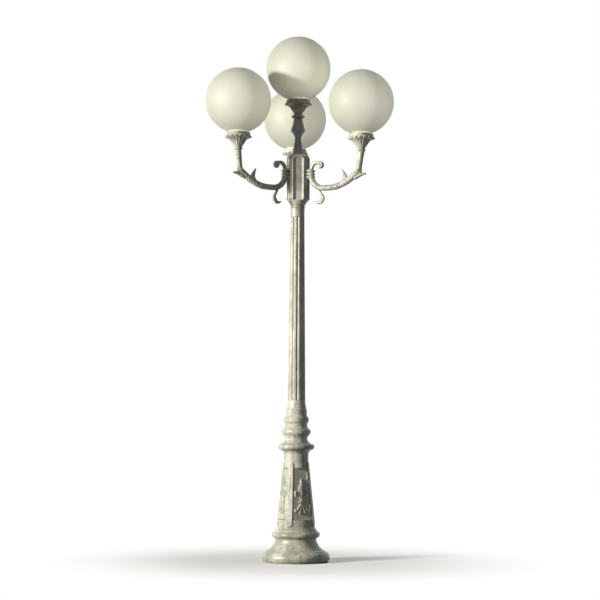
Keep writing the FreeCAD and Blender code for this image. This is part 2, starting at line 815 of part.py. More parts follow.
def half_side(distance, neighbour):
    """Half the width of a hub face at a distance from the axis, between faces at the neighbours' distance."""
    step = math.radians(FACE_STEP)
    return (neighbour - distance * math.cos(step)) / math.sin(step)


def hub_faces():
    """The six faces as (azimuth, distance from the axis, half width): narrow for arms, wide between."""
    faces = []
    for azimuth in ARM_AZIMUTHS.values():
        faces.append((azimuth, ARM_FACE, half_side(ARM_FACE, WIDE_FACE)))
        faces.append((azimuth + FACE_STEP, WIDE_FACE, half_side(WIDE_FACE, ARM_FACE)))
    return faces


def hub_block(height):
    """The six-sided prism, padded from a sketch of its corners."""
    body = doc.addObject("PartDesign::Body", "hub_block")
    corners = []
    for azimuth, distance, half in sorted(hub_faces()):
        corner = Rotation(Vector(0, 0, 1), azimuth).multVec(Vector(distance, half, 0))
        corners.append((corner.x, corner.y))
    pad = body.newObject("PartDesign::Pad", "hub_pad")
    pad.Profile = outline_sketch(body, "hub_outline", corners, "XY_Plane")
    bind(pad, "Length", height)
    doc.recompute()
    return body.Shape.copy()


def hub():
    """Six-sided block with a raised arch on each face, open below, and a bore for the leads and arm bolts."""
    height = dim("baluster_level") - dim("hub_level")
    bore = bound("Cylinder", "hub_bore_tool", Radius=dim("hub_bore"), Height=height)
    shape = hub_block(height)
    level = float(dim("hub_level"))
    frame = float(dim("frame_width"))
    high = float(height) - 12.0
    round_corner = 18.0
    bulge = round_corner * (1 - math.sqrt(0.5))
    groove_side = 6.0
    tools = []
    for azimuth, distance, whole in hub_faces():
        half = whole - frame
        panel = slab([
            (-half, -1.0),
            (half, -1.0),
            (half, high - round_corner),
            (half - round_corner, high, bulge),
            (-half + round_corner, high),
            (-half, high - round_corner, bulge),
        ], 30.0, distance - float(dim("frame_depth")))
        stand = Rotation(Vector(0, 0, 1), azimuth + 90) * Rotation(Vector(1, 0, 0), 90)
        tools.append(placed(panel, Placement(Vector(), stand)))
        groove = Part.makeBox(groove_side, groove_side, float(height) + 2)
        groove.translate(Vector(-groove_side / 2, -groove_side / 2, -1))
        groove.rotate(Vector(), Vector(0, 0, 1), 45.0)
        groove.translate(Vector(math.hypot(distance, whole), 0, 0))
        groove.rotate(Vector(), Vector(0, 0, 1), azimuth + math.degrees(math.atan2(whole, distance)))
        tools.append(groove)
    shape = shape.cut(bore.Shape).cut(tools)
    widest = math.hypot(ARM_FACE, half_side(ARM_FACE, WIDE_FACE))
    bevel = 8.0
    foot = Part.makeCone(64.0, widest, bevel)
    middle = Part.makeCylinder(widest, float(height) - 2 * bevel, Vector(0, 0, bevel))
    crown = Part.makeCone(widest, 66.0, bevel, Vector(0, 0, float(height) - bevel))
    shape = shape.common(foot.fuse(middle).fuse(crown))
    shape.translate(Vector(0, 0, level))
    ways = []
    for azimuth in ARM_AZIMUTHS.values():
        places = [(LEAD_HEIGHT, float(dim("lead_bore")))]
        places += [(height, BOLT_RADIUS) for height in BOLT_HEIGHTS]
        for place, radius in places:
            way = rod((0, 0, place), (ARM_FACE + 10, 0, place), radius)
            way.rotate(Vector(), Vector(0, 0, 1), azimuth)
            ways.append(way)
    return solid("hub", shape.cut(ways))


# ---------------------------------------------------------------- arms and the leads in them

class Route:
    """A line of straight runs and tangent arcs in the XZ plane, drawn from a point in a heading."""

    def __init__(self, start, heading):
        self.point = Vector(*start)
        self.heading = heading
        self.edges = []
        self.length = 0.0

    def direction(self, angle):
        return Vector(math.cos(math.radians(angle)), 0, math.sin(math.radians(angle)))

    def straight(self, length):
        end = self.point + self.direction(self.heading) * length
        self.edges.append(Part.LineSegment(self.point, end).toShape())
        self.point = end
        self.length += length
        return self

    def turn(self, radius, angle):
        """An arc to the left for a positive angle and to the right for a negative one."""
        side = math.copysign(1.0, angle)
        centre = self.point + self.direction(self.heading + 90 * side) * radius
        middle = centre - self.direction(self.heading + 90 * side + angle / 2) * radius
        end = centre - self.direction(self.heading + 90 * side + angle) * radius
        self.edges.append(Part.Arc(self.point, middle, end).toShape())
        self.point = end
        self.heading += angle
        self.length += radius * math.radians(abs(angle))
        return self

    def pipe(self, radius):
        """A round bar along the route, whose volume is compared with its section times its length."""
        start = self.edges[0].Vertexes[0].Point
        along = self.edges[0].tangentAt(self.edges[0].FirstParameter)
        ring = Part.Wire([Part.makeCircle(radius, start, along)])
        bar = Part.Wire(self.edges).makePipeShell([ring], True, False)
        wanted = math.pi * radius ** 2 * self.length
        if abs(bar.Volume - wanted) > 0.01 * wanted:
            raise ValueError("a pipe's volume is wrong")
        return bar


def follow_arm(route):
    """Takes a route that heads down at the arm's root on along the stem and up into the lamp's axis."""
    reach = float(dim("arm_reach"))
    upright = float(dim("upright_angle"))
    follow_stem(route)
    last_bend = 100.0
    rise = (reach - route.point.x) / math.cos(math.radians(upright))
    tangent = last_bend * math.tan(math.radians((90 - upright) / 2))
    route.straight(rise - tangent)
    route.turn(last_bend, 90 - upright)
    return route


def follow_stem(route):
    """The stem's curves: a tight one under the root, the long sweep, and the elbow into the upright."""
    sweep = float(dim("sweep_angle"))
    start_sweep(route, sweep)
    route.straight(float(dim("outer_straight")))
    return bend_upright(route)


def start_sweep(route, angle):
    """The curve under the root, the short straight and the first part of the long sweep."""
    route.turn(float(dim("first_curve_radius")), 90)
    route.straight(float(dim("low_straight")))
    return route.turn(float(dim("sweep_radius")), angle)


def bend_upright(route):
    return route.turn(float(dim("elbow_radius")), float(dim("upright_angle")) - float(dim("sweep_angle")))


def upright_plate(outline, thickness):
    """A plate drawn as (distance from the post, height), as thick on each side of the arm's plane."""
    plate = slab(outline, thickness, -thickness / 2)
    plate.rotate(Vector(), Vector(1, 0, 0), 90)
    return plate


def arm_root():
    """The block that is bolted to the hub, with three beads round it."""
    stem = float(dim("stem_radius"))
    low = ROOT_HEIGHT - 25.0
    high = ROOT_HEIGHT + 38.0

    def band(start, half_width, bottom, top):
        outline = [
            (start, -half_width),
            (ROOT_REACH, -half_width),
            (ROOT_REACH, half_width, half_width),
            (start, half_width),
        ]
        return slab(outline, top - bottom, bottom)

    block = band(PANEL_FLOOR, stem - 1.5, ROOT_HEIGHT - 20.0, ROOT_HEIGHT + 33.0)
    back = Part.makeBox(26.0, 30.0, high - low, Vector(PANEL_FLOOR, -15.0, low))
    heights = [ROOT_HEIGHT + rise for rise in (-13.0, 6.0, 25.0)]
    beads = [band(ARM_FACE + FACE_GAP, stem + 2.0, height - 3.0, height + 3.0) for height in heights]
    return [block, back, *beads]


def arm_scroll():
    """The upper scroll with its rolled end."""
    scroll_radius = 13.0
    roll_half_width = 12.0
    boss_half_width = 15.0
    route = Route((ROOT_REACH, 0, ROOT_HEIGHT + 24.0), 90).straight(12.0).turn(40.0, -110)
    eye = Vector(157.0, 0, ROOT_HEIGHT + 57.0)
    roll = rod((eye.x, -roll_half_width, eye.z), (eye.x, roll_half_width, eye.z), 21.0)
    boss = rod((eye.x, -boss_half_width, eye.z), (eye.x, boss_half_width, eye.z), 8.0)
    return [route.pipe(scroll_radius), roll, boss]


def arm_leaves():
    """The drop hook, the thorn over the stem and the leaf that turns out under the upright."""
    base = ROOT_HEIGHT
    hook = upright_plate([
        (143.0, base - 92.0, 12.0),
        (163.0, base - 92.0),
        (154.0, base - 186.0, -30.0),
        (119.0, base - 168.0, -6.0),
        (147.0, base - 172.0, 4.0),
    ], 20.0)
    thorn = upright_plate([
        (276.0, base - 64.0, -12.0),
        (346.0, base - 38.0),
        (340.0, base - 10.0, 2.0),
        (302.0, base + 28.0, -6.0),
    ], 16.0)
    outer = upright_plate([
        (368.0, base - 44.0),
        (428.0, base - 31.0, 8.0),
        (470.0, base - 20.0, 6.0),
        (468.0, base - 8.0),
        (440.0, base + 4.0, -4.0),
        (418.0, base + 8.0),
        (396.0, base - 12.0),
    ], 16.0)
    return [hook, thorn, outer]


def arm_stem():
    """The stem, the sheath of leaves round its outer half, the trumpet upright and its top ring."""
    stem = float(dim("stem_radius"))
    sweep = float(dim("sweep_angle"))
    elbow_thickness = 17.0
    start = (ROOT_REACH, 0, ROOT_HEIGHT)
    lower = start_sweep(Route(start, -90), sweep).straight(float(dim("outer_straight")))
    elbow = bend_upright(Route(tuple(lower.point), sweep))
    sheath_start = 18.0
    sheath = start_sweep(Route(start, -90), sheath_start)
    outer = Route(tuple(sheath.point), sheath_start).turn(float(dim("sweep_radius")), sweep - sheath_start)
    outer.straight(float(dim("outer_straight")))
    reach = float(dim("arm_reach"))
    trumpet_foot = elbow.point - elbow.direction(elbow.heading) * 10.0
    upright = Vector(reach, 0, CUP_LEVEL - 14.0) - trumpet_foot
    trumpet = Part.makeCone(15.0, 21.5, upright.Length, trumpet_foot, upright)
    ring = rod((reach, 0, CUP_LEVEL - 17.0), (reach, 0, CUP_LEVEL - 2.0), 27.5)
    seat = rod((reach, 0, CUP_LEVEL - 20.0), (reach, 0, CUP_LEVEL), 24.0)
    joint = Part.makeSphere(elbow_thickness, lower.point)
    return [lower.pipe(stem), joint, elbow.pipe(elbow_thickness), outer.pipe(stem + 3.5), trumpet, ring, seat]


def arm_shape():
    """The whole casting in the XZ plane, bored for its lead and drilled for its two bolts."""
    casting = joined([*arm_root(), *arm_stem(), *arm_scroll(), *arm_leaves()])
    back = PANEL_FLOOR - 5.0
    bore = Route((back, 0, LEAD_HEIGHT), 0).straight(ROOT_REACH - LEAD_BEND - back).turn(LEAD_BEND, -90)
    follow_arm(bore)
    bore.straight(CUP_LEVEL - bore.point.z + 5.0)
    drilled = [rod((back, 0, place), (BOLT_REACH, 0, place), BOLT_RADIUS) for place in BOLT_HEIGHTS]
    return casting.cut([bore.pipe(float(dim("lead_bore"))), *drilled])


def arms():
    shape = arm_shape()
    head_back = 30.5
    head_front = 36.5
    head_radius = 8.5
    bolts = []
    for side, azimuth in ARM_AZIMUTHS.items():
        parts[f"arm_{side}"] = solid(f"arm_{side}", shape, turn_about_axis(azimuth))
        for place in BOLT_HEIGHTS:
            bolt = rod((head_back, 0, place), (BOLT_REACH, 0, place), BOLT_RADIUS)
            bolt = bolt.fuse(rod((head_back, 0, place), (head_front, 0, place), head_radius))
            bolt.rotate(Vector(), Vector(0, 0, 1), azimuth)
            bolts.append(bolt)
    parts["arm_bolts"] = solid("arm_bolts", Part.makeCompound(bolts))


def leads():
    """One lead to each lamp: up the shaft beside the axis, and for an arm's lamp out along its bore."""
    radius = float(dim("lead_radius"))
    offset = float(dim("lead_offset"))
    box_top = FUSE_BOX_HEAD - FUSE_BOX_WALL
    bend = LEAD_BEND
    for side, azimuth in ARM_AZIMUTHS.items():
        route = Route((offset, 0, box_top), 90).straight(LEAD_HEIGHT - bend - box_top).turn(bend, -90)
        route.straight(ROOT_REACH - bend - route.point.x).turn(bend, -90)
        follow_arm(route)
        route.straight(CUP_LEVEL + CUP_FLOOR - route.point.z)
        parts[f"lead_{side}"] = solid(f"lead_{side}", route.pipe(radius), turn_about_axis(azimuth))
    top = Route((0, 0, box_top), 90).straight(TOP_CUP_LEVEL + CUP_FLOOR - box_top)
    parts["lead_top"] = solid("lead_top", top.pipe(radius))


# ---------------------------------------------------------------- baluster and lamps

def baluster():
    """The pear-shaped stem of the central lamp, with a ring under its cup."""
    bore = 8.0
    return turned("baluster", [
        (bore, 0.0),
        (42.0, 0.0),
        (41.0, 6.0),
        (24.0, 71.0, -2.5),
        (20.5, 100.0, -0.5),
        (22.0, 118.0, -0.5),
        (42.5, 150.0, -2.0),
        (42.5, 166.0, 1.5),
        (27.0, 224.0, -1.0),
        (26.0, 234.0),
        (37.0, 236.5),
        (37.0, 250.5, 4.5),
        (27.0, 254.0),
        (27.0, dim("baluster_height")),
        (bore, dim("baluster_height")),
    ], dim("baluster_level"))


def round_bulge(radius, start, end):
    """How far an arc of a radius stands out from the chord between two points."""
    half_chord = math.hypot(end[0] - start[0], end[1] - start[1]) / 2
    return radius - math.sqrt(radius ** 2 - half_chord ** 2)


def cup(label, level, centre):
    """Flared cup with a collar that takes the globe's neck, and holes for three screws."""
    collar = dim("collar_radius")
    rim = dim("rim_radius")
    top = dim("cup_drop") - 199.0
    lip_seat = 68.0
    body = turned(f"{label}_blank", [
        (6.5, 0.0),
        (27.0, 0.0),
        (27.0, 5.0),
        (31.0, 9.0),
        (38.0, 21.0, -0.5),
        (50.0, 39.0, -1.0),
        (60.0, 50.0, -1.0),
        (rim, 58.0, -2.0),
        (rim, 62.0),
        (collar, 67.0),
        (collar, top),
        (68.0, top),
        (68.0, lip_seat),
        (50.0, lip_seat),
        (50.0, 55.0),
        (26.0, CUP_FLOOR),
        (6.5, CUP_FLOOR),
    ], level, centre)
    screws = []
    for tool in screw_rods(SCREW_RADIUS, 60.0, 80.0):
        tool.translate(Vector(centre[0], centre[1], float(level) + SCREW_RISE))
        screws.append(tool)
    return solid(label, body.Shape.cut(screws))


def screw_rods(radius, inner, outer):
    """Three radial rods round a lamp's axis."""
    rods = []
    for index in range(SCREWS_PER_CUP):
        screw = rod((inner, 0, 0), (outer, 0, 0), radius)
        screw.rotate(Vector(), Vector(0, 0, 1), 30.0 + index * 360.0 / SCREWS_PER_CUP)
        rods.append(screw)
    return rods


def globe(label, centre_height, centre):
    """Opal sphere with a lipped neck."""
    outer = float(dim("globe_radius"))
    inner = outer - float(dim("globe_wall"))
    neck = float(dim("globe_neck"))
    neck_inner = neck - float(dim("globe_wall"))
    outer_root = (neck, -math.sqrt(outer ** 2 - neck ** 2))
    inner_root = (neck_inner, -math.sqrt(inner ** 2 - neck_inner ** 2))
    lip = 65.0
    foot = -214.0
    outline = [
        (neck_inner, foot),
        (lip, foot),
        (lip, foot + 4.0),
        (dim("globe_neck"), foot + 6.0),
        outer_root,
        (dim("globe_radius"), 0.0, round_bulge(outer, outer_root, (outer, 0.0))),
        (0.0, dim("globe_radius"), round_bulge(outer, (outer, 0.0), (0.0, outer))),
        (0.0, inner),
        (inner, 0.0, -round_bulge(inner, (inner, 0.0), (0.0, inner))),
        (inner_root[0], inner_root[1], -round_bulge(inner, inner_root, (inner, 0.0))),
    ]
    return turned(label, outline, centre_height, centre)


def lampholder(label, level, centre):
    body = turned(label, [
        (0.0, 0.0),
        (19.0, 0.0),
        (19.0, HOLDER_HEIGHT - 5.0),
        (17.0, HOLDER_HEIGHT),
        (13.2, HOLDER_HEIGHT),
        (13.2, HOLDER_HEIGHT - SOCKET_DEPTH),
        (0.0, HOLDER_HEIGHT - SOCKET_DEPTH),
    ], level + CUP_FLOOR, centre)
    return body


def bulb(label, level, centre):
    return turned(label, [
        (0.0, 0.5),
        (13.0, 0.5),
        (13.0, SOCKET_DEPTH + 1.0),
        (16.0, SOCKET_DEPTH + 9.0),
        (30.0, SOCKET_DEPTH + 38.0, -2.0),
        (0.0, SOCKET_DEPTH + 68.0, round_bulge(30.0, (30.0, 0.0), (0.0, 30.0))),
    ], level + (CUP_FLOOR + HOLDER_HEIGHT - SOCKET_DEPTH), centre)


def lamps():
    """Cup, holder, bulb and globe for each arm and for the baluster, with their seals and screws."""
    arm_level = dim("arm_lamp_centre") - dim("cup_drop")
    top_level = dim("baluster_level") + dim("baluster_height")
    reach = float(dim("arm_reach"))
    places = {"top": (top_level, (0.0, 0.0))}
    for side, azimuth in ARM_AZIMUTHS.items():
        angle = math.radians(azimuth)
        places[side] = (arm_level, (reach * math.cos(angle), reach * math.sin(angle)))
    screws = []
    seals = []
    for side, (level, centre) in places.items():
        parts[f"cup_{side}"] = cup(f"cup_{side}", level, centre)
        parts[f"lampholder_{side}"] = lampholder(f"lampholder_{side}", level, centre)
        parts[f"bulb_{side}"] = bulb(f"bulb_{side}", level, centre)
        parts[f"globe_{side}"] = globe(f"globe_{side}", level + dim("cup_drop"), centre)
        neck = float(dim("globe_neck"))
        collar = float(dim("collar_radius"))
        shanks = screw_rods(SCREW_RADIUS, neck + 0.2, collar + 6.0)
        heads = screw_rods(5.0, collar, collar + 6.0)
        for shank, head in zip(shanks, heads):
            screw = shank.fuse(head)
            screw.translate(Vector(centre[0], centre[1], float(level) + SCREW_RISE))
            screws.append(screw)
        seal = Part.makeCylinder(67.0, 3.0).cut(Part.makeCylinder(54.0, 3.0))
        seal.translate(Vector(centre[0], centre[1], float(level) + 68.0))
        seals.append(seal)
    parts["globe_screws"] = solid("globe_screws", Part.makeCompound(screws))
    parts["globe_seals"] = solid("globe_seals", Part.makeCompound(seals))


# ---------------------------------------------------------------- the whole post

pedestal_equipment()
parts["ring_collar"] = ring_collar()
parts["neck_collar"] = neck_collar()
parts["shaft_socket"] = shaft_socket()
parts["fluted_shaft"] = fluted_shaft()
parts["shaft_cap_ring"] = cap_ring()
parts["hub_bell"] = hub_bell()
parts["hub"] = hub()
arms()
leads()
parts["baluster"] = baluster()
lamps()
doc.recompute()


def check_and_write():
    """Stops at a failed object or a bad solid, and otherwise writes one file for each sub-part."""
    for feature in doc.Objects:
        if "Invalid" in feature.State or "Error" in feature.State:
            raise ValueError(f"{feature.Label} failed")
    for label, piece in parts.items():
        if piece.Shape.isNull() or not piece.Shape.isValid():
            raise ValueError(f"{label} has a bad shape")
        piece.Shape.exportStep(f"parts/{label}.step")
        box = piece.Shape.optimalBoundingBox()
        print(f"{label}: {len(piece.Shape.Solids)} solids, "
              f"X {box.XMin:.1f} {box.XMax:.1f}, Y {box.YMin:.1f} {box.YMax:.1f}, "
              f"Z {box.ZMin:.1f} {box.ZMax:.1f}")


check_and_write()
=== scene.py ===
"""Looks of the four-globe garden lamp post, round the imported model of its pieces.

Shapes are drawn in millimetres, in the post's own frame or in a local one that is then stood in its place,
and become metres when a piece is made. -Y is the front, and the sun-like lamp stands to the left of it.
"""
import json
import math

import bmesh
import bpy
from mathutils import Matrix, Vector


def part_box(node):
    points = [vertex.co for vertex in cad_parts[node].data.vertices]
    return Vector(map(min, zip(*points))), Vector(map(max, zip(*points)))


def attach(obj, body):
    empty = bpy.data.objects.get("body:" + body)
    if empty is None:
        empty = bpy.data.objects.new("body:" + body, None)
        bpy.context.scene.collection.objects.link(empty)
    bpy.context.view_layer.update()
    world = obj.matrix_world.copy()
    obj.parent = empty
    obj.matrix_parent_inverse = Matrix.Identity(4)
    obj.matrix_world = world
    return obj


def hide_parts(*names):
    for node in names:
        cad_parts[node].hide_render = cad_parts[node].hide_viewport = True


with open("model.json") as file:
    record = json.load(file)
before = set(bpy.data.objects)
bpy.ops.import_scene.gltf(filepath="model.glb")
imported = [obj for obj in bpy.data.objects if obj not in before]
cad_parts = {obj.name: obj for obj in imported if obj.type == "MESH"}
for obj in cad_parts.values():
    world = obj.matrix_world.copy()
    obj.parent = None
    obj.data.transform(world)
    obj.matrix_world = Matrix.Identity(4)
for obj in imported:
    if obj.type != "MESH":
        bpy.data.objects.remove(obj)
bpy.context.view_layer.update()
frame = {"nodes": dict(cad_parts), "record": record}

scene = bpy.context.scene
scene.view_settings.view_transform = "Standard"
MM = 0.001
POST = "post"


# ---------------------------------------------------------------- camera

IMAGE_WIDTH = 600
FOCAL_PIXELS = 1749.0
SENSOR_WIDTH = 36.0
CAMERA_DISTANCE = 10.79
CAMERA_AZIMUTH = -2.6
CAMERA_HEIGHT = 0.862
CAMERA_PITCH = 3.94
CAMERA_YAW = -0.094
CAMERA_ROLL = 0.32


def add_camera():
    """Stands the camera low in front of the post, tilted up a little, as the photograph was taken."""
    data = bpy.data.cameras.new("camera")
    data.sensor_width = SENSOR_WIDTH
    data.lens = SENSOR_WIDTH * FOCAL_PIXELS / IMAGE_WIDTH
    camera = bpy.data.objects.new("camera", data)
    scene.collection.objects.link(camera)
    azimuth = math.radians(CAMERA_AZIMUTH)
    place = Vector((math.sin(azimuth) * CAMERA_DISTANCE, -math.cos(azimuth) * CAMERA_DISTANCE, CAMERA_HEIGHT))
    turn = Matrix.Rotation(azimuth + math.radians(CAMERA_YAW), 4, "Z")
    pitch = Matrix.Rotation(math.radians(90.0 + CAMERA_PITCH), 4, "X")
    roll = Matrix.Rotation(math.radians(CAMERA_ROLL), 4, "Z")
    camera.matrix_world = Matrix.Translation(place) @ turn @ pitch @ roll
    scene.camera = camera


add_camera()


# ---------------------------------------------------------------- node materials

class Nodes:
    """A small helper that adds shader nodes to one material and joins them."""

    def __init__(self, name):
        self.material = bpy.data.materials.new(name)
        self.material.use_nodes = True
        self.tree = self.material.node_tree
        self.shader = self.tree.nodes["Principled BSDF"]
        self.place = self.add("ShaderNodeTexCoord").outputs["Object"]

    def add(self, kind, **settings):
        node = self.tree.nodes.new(kind)
        for name, value in settings.items():
            setattr(node, name, value)
        return node

    def join(self, value, socket):
        """Sets a socket to a number or colour, or links it to an output."""
        if isinstance(value, bpy.types.NodeSocket):
            self.tree.links.new(value, socket)
        else:
            socket.default_value = value

    def noise(self, scale, detail=4.0, roughness=0.55, stretch=(1.0, 1.0, 1.0), distortion=0.0):
        """Noise from 0 to 1 in the piece's own space, with scale in cycles per metre."""
        mapping = self.add("ShaderNodeMapping")
        mapping.inputs["Scale"].default_value = stretch
        self.join(self.place, mapping.inputs["Vector"])
        texture = self.add("ShaderNodeTexNoise")
        self.join(mapping.outputs["Vector"], texture.inputs["Vector"])
        texture.inputs["Scale"].default_value = scale
        texture.inputs["Detail"].default_value = detail
        texture.inputs["Roughness"].default_value = roughness
        texture.inputs["Distortion"].default_value = distortion
        return texture.outputs["Fac"]

    def ramp(self, value, low, high, low_result=0.0, high_result=1.0):
        """Maps value from low..high to the two results, smoothly and held at the ends."""
        node = self.add("ShaderNodeMapRange", interpolation_type="SMOOTHSTEP")
        self.join(value, node.inputs["Value"])
        node.inputs["From Min"].default_value = low
        node.inputs["From Max"].default_value = high
        node.inputs["To Min"].default_value = low_result
        node.inputs["To Max"].default_value = high_result
        return node.outputs["Result"]

    def math(self, operation, first, second=0.0):
        node = self.add("ShaderNodeMath", operation=operation)
        self.join(first, node.inputs[0])
        self.join(second, node.inputs[1])
        return node.outputs["Value"]

    def mix(self, factor, first, second, blend="MIX"):
        node = self.add("ShaderNodeMix", data_type="RGBA", blend_type=blend)
        self.join(factor, node.inputs["Factor"])
        self.join(first, node.inputs["A"])
        self.join(second, node.inputs["B"])
        return node.outputs["Result"]

    def crevice(self, distance, inside=False):
        """1 on open surfaces and towards 0 in corners, or the other way round for edges from inside."""
        node = self.add("ShaderNodeAmbientOcclusion", samples=8, inside=inside, only_local=True)
        node.inputs["Distance"].default_value = distance
        return node.outputs["AO"]

    def bump(self, height, strength, distance, under=None):
        node = self.add("ShaderNodeBump")
        node.inputs["Strength"].default_value = strength
        node.inputs["Distance"].default_value = distance
        self.join(height, node.inputs["Height"])
        if under is not None:
            self.join(under, node.inputs["Normal"])
        return node.outputs["Normal"]

    def finish(self, colour, roughness, normal=None, metallic=0.0, **uniform):
        self.join(colour, self.shader.inputs["Base Color"])
        self.join(roughness, self.shader.inputs["Roughness"])
        self.shader.inputs["Metallic"].default_value = metallic
        if normal is not None:
            self.join(normal, self.shader.inputs["Normal"])
        for name, value in uniform.items():
            self.shader.inputs[name.replace("_", " ")].default_value = value
        return self.material


def rgb(red, green, blue):
    """A colour as it is seen on a screen, 0 to 255, turned into the linear one that a socket takes."""
    def linear(level):
        share = level / 255.0
        return share / 12.92 if share <= 0.04045 else ((share + 0.055) / 1.055) ** 2.4
    return (linear(red), linear(green), linear(blue), 1.0)


LIGHT = rgb(218, 218, 203)
SILVER = rgb(172, 172, 155)
GREY = rgb(122, 123, 112)
OLIVE = rgb(56, 54, 40)
STAIN = rgb(124, 110, 82)
NO_TINT = (1.0, 1.0, 1.0, 1.0)
# Multipliers that darken the top cup and the baluster: painted shadow for the shade that the left globe casts
# on them.
BROWN_PAINTED_SHADOW = (0.62, 0.56, 0.44, 1.0)
BLUE_PAINTED_SHADOW = (0.58, 0.57, 0.68, 1.0)
# Widths over which corners and hollows turn olive, partly as patina and partly as painted shade.
WIDE_CREVICE = 0.050
NEAR_CREVICE = 0.012
RIB_CREVICE = 0.035
RUBBED_EDGE = 0.006


def cast_metal(name, carved, tint=NO_TINT, crevice=NEAR_CREVICE):
    """Weathered silver casting, olive in its corners as patina and painted shade, stained brown in patches and
    rubbed on its edges.

    carved is 0 for turned work and 1 for foliage, tint multiplies the colour and, below one, paints the shadow
    that falls on a part, and crevice is the width of the small hollows darkened with patina and painted shade,
    in metres.
    """
    n = Nodes(name)
    clouds = n.noise(6.0, 5.0, 0.6, distortion=0.3)
    streaks = n.noise(60.0, 6.0, 0.62, stretch=(1.0, 1.0, 0.08), distortion=0.5)
    speckle = n.noise(420.0, 3.0, 0.6)
    patches = n.noise(30.0 + 25.0 * carved, 6.0, 0.66, distortion=0.8)
    open_wide = n.crevice(WIDE_CREVICE)
    open_near = n.crevice(crevice)
    edge = n.crevice(RUBBED_EDGE, inside=True)
    base = n.mix(n.ramp(clouds, 0.36, 0.60), SILVER, LIGHT)
    base = n.mix(n.ramp(streaks, 0.48, 0.66, 0.0, 0.65), base, GREY)
    base = n.mix(n.ramp(patches, 0.50, 0.68, 0.0, 0.30 + 0.4 * carved), base, STAIN)
    # Corners and hollows turn olive: partly patina, partly painted shade where gaps and grooves would lie in
    # shadow.
    wide_patina_and_shade = n.ramp(open_wide, 0.35, 0.90, 0.85, 0.0)
    near_patina_and_shade = n.ramp(open_near, 0.45, 0.95, 0.95, 0.0)
    base = n.mix(n.math("MAXIMUM", wide_patina_and_shade, near_patina_and_shade), base, OLIVE)
    rubbed = n.math("MULTIPLY", n.ramp(edge, 0.45, 0.85, 0.9, 0.0), n.ramp(patches, 0.25, 0.5))
    base = n.mix(rubbed, base, LIGHT)
    base = n.mix(n.ramp(speckle, 0.35, 0.7, 0.0, 0.18), base, OLIVE)
    # A tint below one paints the shadow that falls on a part.
    base = n.mix(1.0, base, tint, "MULTIPLY")
    rough = n.ramp(patches, 0.3, 0.7, 0.28, 0.46)
    grain = n.bump(speckle, 0.35, 0.0006)
    lumps = n.bump(n.noise(60.0, 4.0, 0.5), 0.20 + 0.6 * carved, 0.0016 + 0.003 * carved, grain)
    return n.finish(base, rough, lumps, Specular_IOR_Level=0.55)


def opal():
    """Opal plastic of a globe, with a little dust and a soft gloss, that scatters light under its surface."""
    n = Nodes("opal_globe_finish")
    haze = n.noise(6.0, 4.0, 0.5)
    dust = n.noise(150.0, 4.0, 0.6)
    colour = n.mix(n.ramp(haze, 0.3, 0.7), rgb(245, 245, 224), rgb(250, 251, 233))
    colour = n.mix(n.ramp(dust, 0.55, 0.8, 0.0, 0.12), colour, rgb(214, 210, 184))
    rough = n.ramp(dust, 0.3, 0.7, 0.44, 0.56)
    ripple = n.bump(n.noise(18.0, 2.0, 0.4), 0.05, 0.002)
    return n.finish(colour, rough, ripple, Subsurface_Weight=0.3, Subsurface_Scale=0.01,
                    Subsurface_Radius=(1.0, 0.9, 0.7))


def plain(name, first, second, roughness, scale=90.0, metallic=0.0, bump=0.15):
    """A moulded, plated or machined surface with slight mottling, worn roughness and grain."""
    n = Nodes(name)
    mottle = n.noise(scale, 5.0, 0.6)
    grain = n.noise(scale * 9.0, 3.0, 0.6)
    colour = n.mix(n.ramp(mottle, 0.3, 0.7), first, second)
    rough = n.ramp(grain, 0.3, 0.7, roughness - 0.08, roughness + 0.1)
    return n.finish(colour, rough, n.bump(grain, bump, 0.0004), metallic=metallic)


def plywood():
    """Varnished board with its grain along Z."""
    n = Nodes("board_finish")
    grain = n.noise(90.0, 6.0, 0.65, stretch=(1.0, 1.0, 0.06), distortion=1.2)
    fine = n.noise(700.0, 3.0, 0.6, stretch=(1.0, 1.0, 0.05))
    colour = n.mix(n.ramp(grain, 0.3, 0.7), rgb(176, 134, 84), rgb(124, 84, 46))
    return n.finish(colour, n.ramp(fine, 0.3, 0.7, 0.35, 0.55), n.bump(fine, 0.2, 0.0004))


FINISH = {
    "cast_metal": cast_metal("cast_metal_finish", 0.0),
    "opal_globe": opal(),
    "bulb_glass": plain("bulb_finish", rgb(244, 244, 238), rgb(236, 236, 228), 0.3, 40.0),
    "steel": plain("steel_finish", rgb(176, 176, 170), rgb(128, 124, 114), 0.42, 160.0, metallic=0.85),
    "black_plastic": plain("black_plastic_finish", rgb(40, 40, 40), rgb(54, 53, 51), 0.5),
    "box_plastic": plain("box_plastic_finish", rgb(196, 198, 194), rgb(182, 184, 180), 0.48),
    "board": plywood(),
    "brass": plain("brass_finish", rgb(196, 162, 92), rgb(150, 116, 62), 0.38, 140.0, metallic=0.9),
    "lead_sheath": plain("lead_sheath_finish", rgb(44, 44, 45), rgb(58, 57, 56), 0.55, 200.0),
    "seal_rubber": plain("seal_rubber_finish", rgb(38, 38, 38), rgb(52, 51, 49), 0.7, 200.0),
}
CARVED = cast_metal("carved_metal_finish", 0.8)
# The ribbed finishes reach further into the cups' grooves with their patina and painted shade.
RIBBED = cast_metal("ribbed_metal_finish", 0.0, crevice=RIB_CREVICE)
# Darker copies of the casting finish: painted shadow for the top cup and the baluster.
PAINTED_SHADOW_RIBBED = cast_metal("painted_shadow_ribbed_finish", 0.0, BROWN_PAINTED_SHADOW, RIB_CREVICE)
PAINTED_SHADOW_METAL = cast_metal("painted_shadow_metal_finish", 0.0, BLUE_PAINTED_SHADOW)


